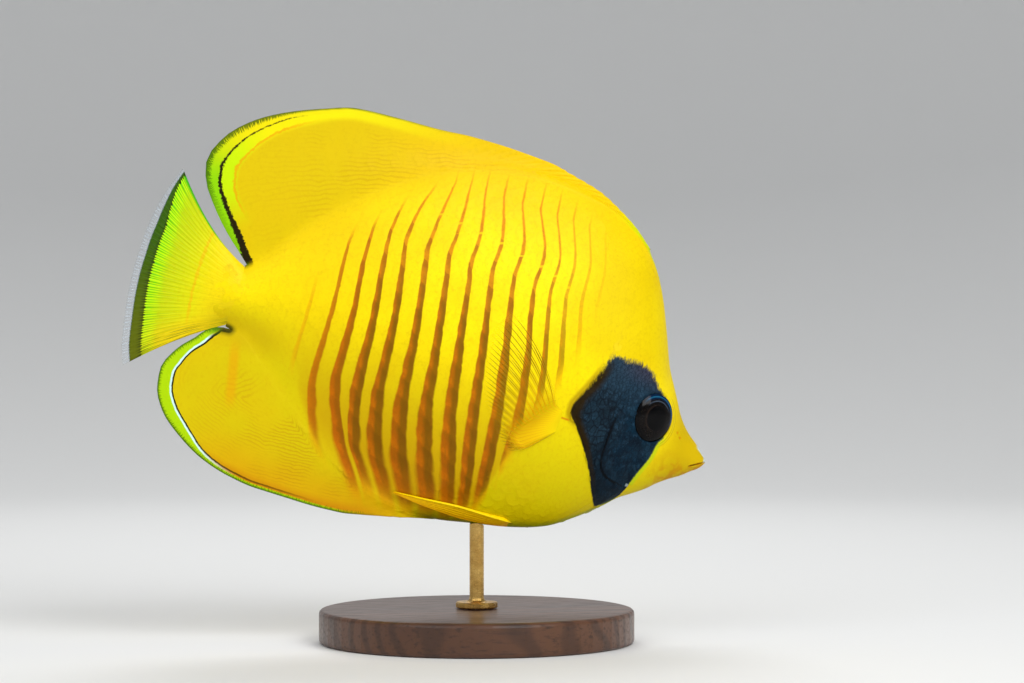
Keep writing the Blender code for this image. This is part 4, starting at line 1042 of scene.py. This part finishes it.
def tail_finish():
    """Yellow rays that turn green outwards, a dark toothed band and a clear margin."""
    finish, g, shader = plain_finish("tail_skin", 0.45, 0.12)
    s, v, _ = g.numbers("fin")
    gap, b, _ = g.numbers("margin")
    fine = g.noise(g.object_place(), 900, 3, 0.6)
    streak = g.noise(g.join(s * 150, v * 3), 1, 1)
    teeth = g.noise(g.join(s * 190, 0, 5), 1, 1)
    ray = g.wave(s * (2 * TAIL_RAYS) - 0.5).rise(-0.9, 0.9)
    comb = g.wave(s * (4 * TAIL_RAYS) + g.noise(g.join(s * 40), 1, 0) * 1.4)
    band_out = s.rise(0, 0.3, 0.9, 2.3) + (teeth - 0.5) * 0.6
    band_in = s.rise(0, 0.3, 1.7, 5.3) + s.rise(0.3, 1, 0, 0.7)
    skin = g.mix(gap.rise(30, 12), (243, 216, 0), (206, 214, 0))
    near = (gap - (band_in + streak * 2.6)).rise(4.6, -0.8)
    arc = gap.band(20 + (fine - 0.5) * 2, 0.12, 0.6) * s.rise(0.95, 0.7) * 0.4
    top_edge = s.rise(0.022, 0.01) * gap.rise(30, 18)
    low_lines = s.rise(0.86, 0.93) * streak.rise(0.5, 0.6) * 0.7
    toothed = gap - comb.rise(-0.6, 0.8) * 0.5
    in_band = (toothed - band_in).rise(0.2, -0.1)
    olive = g.mix(teeth.rise(0.4, 0.62), (58, 98, 0), (40, 74, 0))
    skin = skin.paint(
        ((178, 220, 0), gap.rise(14, 5, 0, 0.7)),
        ((236, 200, 0), s.rise(0.75, 0.95) * 0.8),
        # painted shade carried on from the body: the tail's root lighter at the top and darker below
        (g.mix(s.rise(0.45, 0.95), (245, 214, 0), (208, 184, 0)), b.rise(180, 167)),
        ((150, 170, 0), streak.rise(0.42, 0.6) * gap.rise(19, 9, 0.1, 0.35)),
        ((120, 160, 0), comb.rise(0.2, 0.9) * gap.rise(22, 7) * 0.35),
        ((104, 226, 0), near * s.rise(1, 0.5, 0.2, 0.75)),
        ((210, 240, 0), comb.rise(0.3, -0.5) * near.rise(0, 0.5) * 0.6),
        ((40, 140, 0), comb.rise(0.6, 0.95) * near * 0.5),
        ((196, 160, 0), fine.rise(0.45, 0.8) * 0.25),
        ((236, 156, 0), arc),
        ((50, 170, 0), top_edge * 0.9),
        ((120, 120, 0), low_lines))
    inner_teeth = (toothed - band_in).rise(s.rise(0.2, 0.6, -1.2, -2.4), -0.3) * comb.rise(-0.2, 0.5) * 0.75
    olive = olive.paint(
        ((92, 100, 0), s.rise(0.3, 1)),
        ((30, 34, 0), inner_teeth),
        ((24, 40, 0), (gap - band_out).rise(0.9, 0.1) * comb.rise(0, 0.6) * 0.5))
    clear = (gap - band_out).rise(0.25, -0.2)
    skin = skin.paint(
        (olive, in_band),
        (g.mix(comb.rise(0, 0.8), (150, 170, 184), (190, 206, 216)), clear))
    g.feed(shader, {"Base Color": skin, "Alpha": 1 - clear * comb.rise(0.4, 0.95, 0.93, 0.72),
                    "Normal": g.bump(ray * 0.4 + streak * 0.5, 0.25)})
    return finish


def breast_fin_finish():
    """A nearly clear web with fine orange-brown rays on a yellow root."""
    finish, g, shader = plain_finish("breast_fin_web", 0.45, 0.08)
    s, v, _ = g.numbers("fin")
    single, forked = g.wave(s * PECTORAL_RAYS - 0.5), g.wave(s * (2 * PECTORAL_RAYS) - 0.5)
    near, far = single.rise(0.9, 0.98) * v.rise(0.85, 0.65), forked.rise(0.86, 0.975) * v.rise(0.35, 0.6)
    ray = g.math("MAXIMUM", near, far)
    root = v.rise(s.rise(0.5, 1, 0.52, 1), s.rise(0.5, 1, 0.16, 0.2)) * s.rise(1, 0.9, 0.35, 1)
    bone = g.mix(v.rise(0.25, 0.42), (222, 158, 0), g.mix(v.rise(0.45, 0.75), (200, 126, 0), (100, 68, 0)))
    skin = g.mix(v.rise(0.05, 0.3) * s.rise(0, 0.5, 0.3, 1), (242, 214, 0), (238, 192, 0))
    bone = bone.paint(((84, 54, 0), s.rise(0.25, 0) * v.rise(0.3, 0.45) * 0.7))
    fade = v.rise(1, 0.5, 0.5, 0.92) * v.rise(1, 0.86)
    skin = skin.paint((bone, ray * v.rise(0.1, 0.2)))
    # The web and its rays let the light through, so only the fleshy root shades the flank behind it.
    lit = 1 - g.math("MAXIMUM", *g.node("ShaderNodeLightPath", {}, ("Is Shadow Ray", "Is Diffuse Ray")))
    g.feed(shader, {"Base Color": skin, "Alpha": g.math("MAXIMUM", root, (0.03 + ray * fade) * lit)})
    return finish


def belly_fin_finish():
    """Bright yellow rays with orange between them."""
    finish, g, shader = plain_finish("belly_fin_skin", 0.45, 0.1)
    s, v, _ = g.numbers("fin")
    ray = g.wave(s * PELVIC_RAYS - 0.5)
    streak = g.noise(g.join(s * 30, v * 5), 1, 2)
    skin = g.mix(ray.rise(0.3, -0.8, 0, 0.45), (248, 202, 0), (228, 140, 0)).paint(
        ((244, 180, 0), streak.rise(0.45, 0.7, 0, 0.5)),
        ((226, 148, 0), s.rise(0.55, 1) * 0.5),
        ((255, 222, 0), s.rise(0.3, 0.06) * 0.8),
        ((196, 120, 0), g.noise(g.object_place(), 900, 3).rise(0.5, 0.8, 0, 0.3)))
    g.feed(shader, {"Base Color": skin})
    return finish


def eye_finish():
    """A black pupil in a brown-black iris, under a clear coat, with a deep blue upper rim and a painted
    pale highlight arc above the pupil.
    """
    finish, g, shader = plain_finish("eye_glass", 0.12, 0.05, 0.1)
    x, y, r = g.numbers("eye")
    cloudy = g.noise(g.object_place(), 700, 3, 0.6)
    spokes = g.noise(g.join(g.math("ARCTAN2", y, x) * 9, r * 2), 1, 2)
    iris = g.mix(cloudy.rise(0.35, 0.7), (7, 6, 6), (15, 11, 10))
    above = (y + x * -0.35).rise(0.1, 0.75)
    iris = iris.paint(
        ((28, 22, 19), spokes.rise(0.5, 0.75, 0, 0.4)),
        ((30, 22, 18), r.band(0.56, 0.01, 0.05) * x.rise(-0.1, 0.4)),
        ((2, 2, 3), r.rise(0.53, 0.5)),
        ((6, 6, 8), r.rise(0.8, 0.88)),
        ((4, 30, 58), r.rise(0.76, 0.86) * above),
        ((20, 84, 116), r.band(0.9, 0.012, 0.03) * above),
        # painted highlight: a pale arc in the upper iris
        ((70, 84, 100), r.band(0.72, 0.01, 0.03) * y.rise(0.35, 0.65) * 0.6))
    g.feed(shader, {"Base Color": iris})
    return finish


def dress_stand():
    """Dark oiled wood and brushed brass on the stand's own solids."""
    wood, g, shader = plain_finish("oiled_walnut", 0.4, 0.4, 0.25, coat_roughness=0.2)
    x, y, z = g.split(g.object_place())
    bend = g.noise(g.join(x * 0.4, y, z), 22, 2)
    rings = g.math("SINE", (y + bend * 0.05) * 900)
    grain = g.noise(g.join(x * 0.09, y, z), 900, 4, 0.65)
    skin = g.mix(bend.rise(0.3, 0.7), (74, 44, 27), (96, 60, 36)).paint(
        ((48, 27, 16), rings.rise(-0.2, 0.9, 0, 0.55)),
        ((34, 18, 10), grain.rise(0.5, 0.72, 0, 0.7)))
    g.feed(shader, {"Base Color": skin, "Roughness": grain.rise(0.35, 0.75, 0.34, 0.52),
                    "Normal": g.bump(grain, 0.2)})

    brass, g, shader = plain_finish("brushed_brass", 0.3, metallic=1)
    x, y, z = g.split(g.object_place())
    brushed = g.noise(g.join(x * 0.2, y * 0.2, z), 2600, 2, 0.7)
    worn = g.noise(g.join(x, y, z), 180, 3)
    g.feed(shader, {"Base Color": g.mix(worn.rise(0.35, 0.75), (206, 168, 96), (176, 136, 70)),
                    "Roughness": brushed.rise(0.3, 0.7, 0.22, 0.4)})
    for node, finish in (("stand_base", wood), ("stand_rod", brass)):
        for place in frame["nodes"][node].material_slots:
            place.material = finish


def main():
    pattern = fish_colours()
    skin_finish = fish_finish("wet_skin", pattern, 0, 0.35, 0.46)
    scale_finish = fish_finish("wet_scales", pattern, 1, 0.2, 0.42)
    skin = make_skin(skin_finish)
    fish = to_fish(points_of(skin.data))
    write_fields(skin.data, {**pattern_fields(fish[:, 0], fish[:, 2]),
                             "scale": np.tile(NO_SCALE, (len(fish), 1))})
    tail = make_tail_fin(tail_finish())
    corners, faces = [], []
    for piece in (skin, tail):
        faces += [tuple(v + len(corners) for v in p.vertices) for p in piece.data.polygons]
        corners += [tuple(p) for p in to_fish(points_of(piece.data))]
    shell = BVHTree.FromPolygons(corners, faces)
    eye, breast, belly_skin = eye_finish(), breast_fin_finish(), belly_fin_finish()
    for side, word in ((-1, "right"), (1, "left")):
        scatter_scales(shell, side, scale_finish)
        make_pectoral(side, word, breast)
        make_pelvic(side, word, belly_skin)
        make_eye(side, word, eye)
    dress_stand()
    set_up_studio()


def set_up_studio():
    """The camera at the photo's angle, a pale sweep behind the model, and soft lights."""
    scene = bpy.context.scene
    aim = Vector(to_world([AIM])[0])
    a = CAMERA_AZIMUTH
    back_vector = Vector((math.sin(a), -math.cos(a), 0))
    camera = bpy.data.objects.new("camera", bpy.data.cameras.new("camera"))
    camera.data.lens, camera.data.sensor_width = CAMERA_LENS, CAMERA_SENSOR
    camera.location = aim + back_vector * CAMERA_DISTANCE
    camera.rotation_euler = (math.pi / 2, 0, a)
    scene.collection.objects.link(camera)
    scene.camera = camera

    bm = bmesh.new()
    outline = [(0.0, 0.0), (FLOOR_RADIUS, 0.0)]
    for turn in np.linspace(0, math.pi / 2, 25)[1:]:
        outline.append((FLOOR_RADIUS + SWEEP_BEND * math.sin(turn), SWEEP_BEND * (1 - math.cos(turn))))
    outline.append((FLOOR_RADIUS + SWEEP_BEND, SWEEP_HEIGHT))
    verts = [bm.verts.new((aim.x + r, aim.y, h)) for r, h in outline]
    edges = [bm.edges.new(pair) for pair in zip(verts, verts[1:])]
    bmesh.ops.spin(bm, geom=verts + edges, cent=(aim.x, aim.y, 0), axis=(0, 0, 1), angle=2 * math.pi,
                   steps=96, use_merge=True)
    bmesh.ops.remove_doubles(bm, verts=bm.verts, dist=1e-5)
    bmesh.ops.recalc_face_normals(bm, faces=bm.faces)
    if sum(f.normal.z for f in bm.faces) < 0:
        bmesh.ops.reverse_faces(bm, faces=bm.faces)
    mesh = bpy.data.meshes.new("sweep")
    bm.to_mesh(mesh)
    bm.free()
    mesh.shade_smooth()
    sweep = bpy.data.objects.new("sweep", mesh)
    scene.collection.objects.link(sweep)
    paper, g, shader = plain_finish("sweep_paper", 0.9)
    g.feed(shader, {"Base Color": colour(226, 226, 224)})
    mesh.materials.append(paper)

    def area(name, place, size, power):
        light = bpy.data.lights.new(name, "AREA")
        light.energy, light.size = power, size
        lamp = bpy.data.objects.new(name, light)
        lamp.location = aim + Vector(place)
        lamp.rotation_euler = (aim - lamp.location).to_track_quat("-Z", "Y").to_euler()
        scene.collection.objects.link(lamp)

    area("key_light", (0.3, -0.85, 0.65), 0.6, 8.2)
    area("fill_light", (-0.75, -0.65, 0.75), 0.9, 4.3)
    area("rim_light", (0.1, 0.7, 0.8), 0.6, 5)
    world = bpy.data.worlds.new("studio")
    scene.world = world
    world.use_nodes = True
    sky = world.node_tree.nodes["Background"].inputs
    sky["Color"].default_value, sky["Strength"].default_value = SKY_TINT, SKY_STRENGTH
    scene.view_settings.view_transform = "Standard"


main()
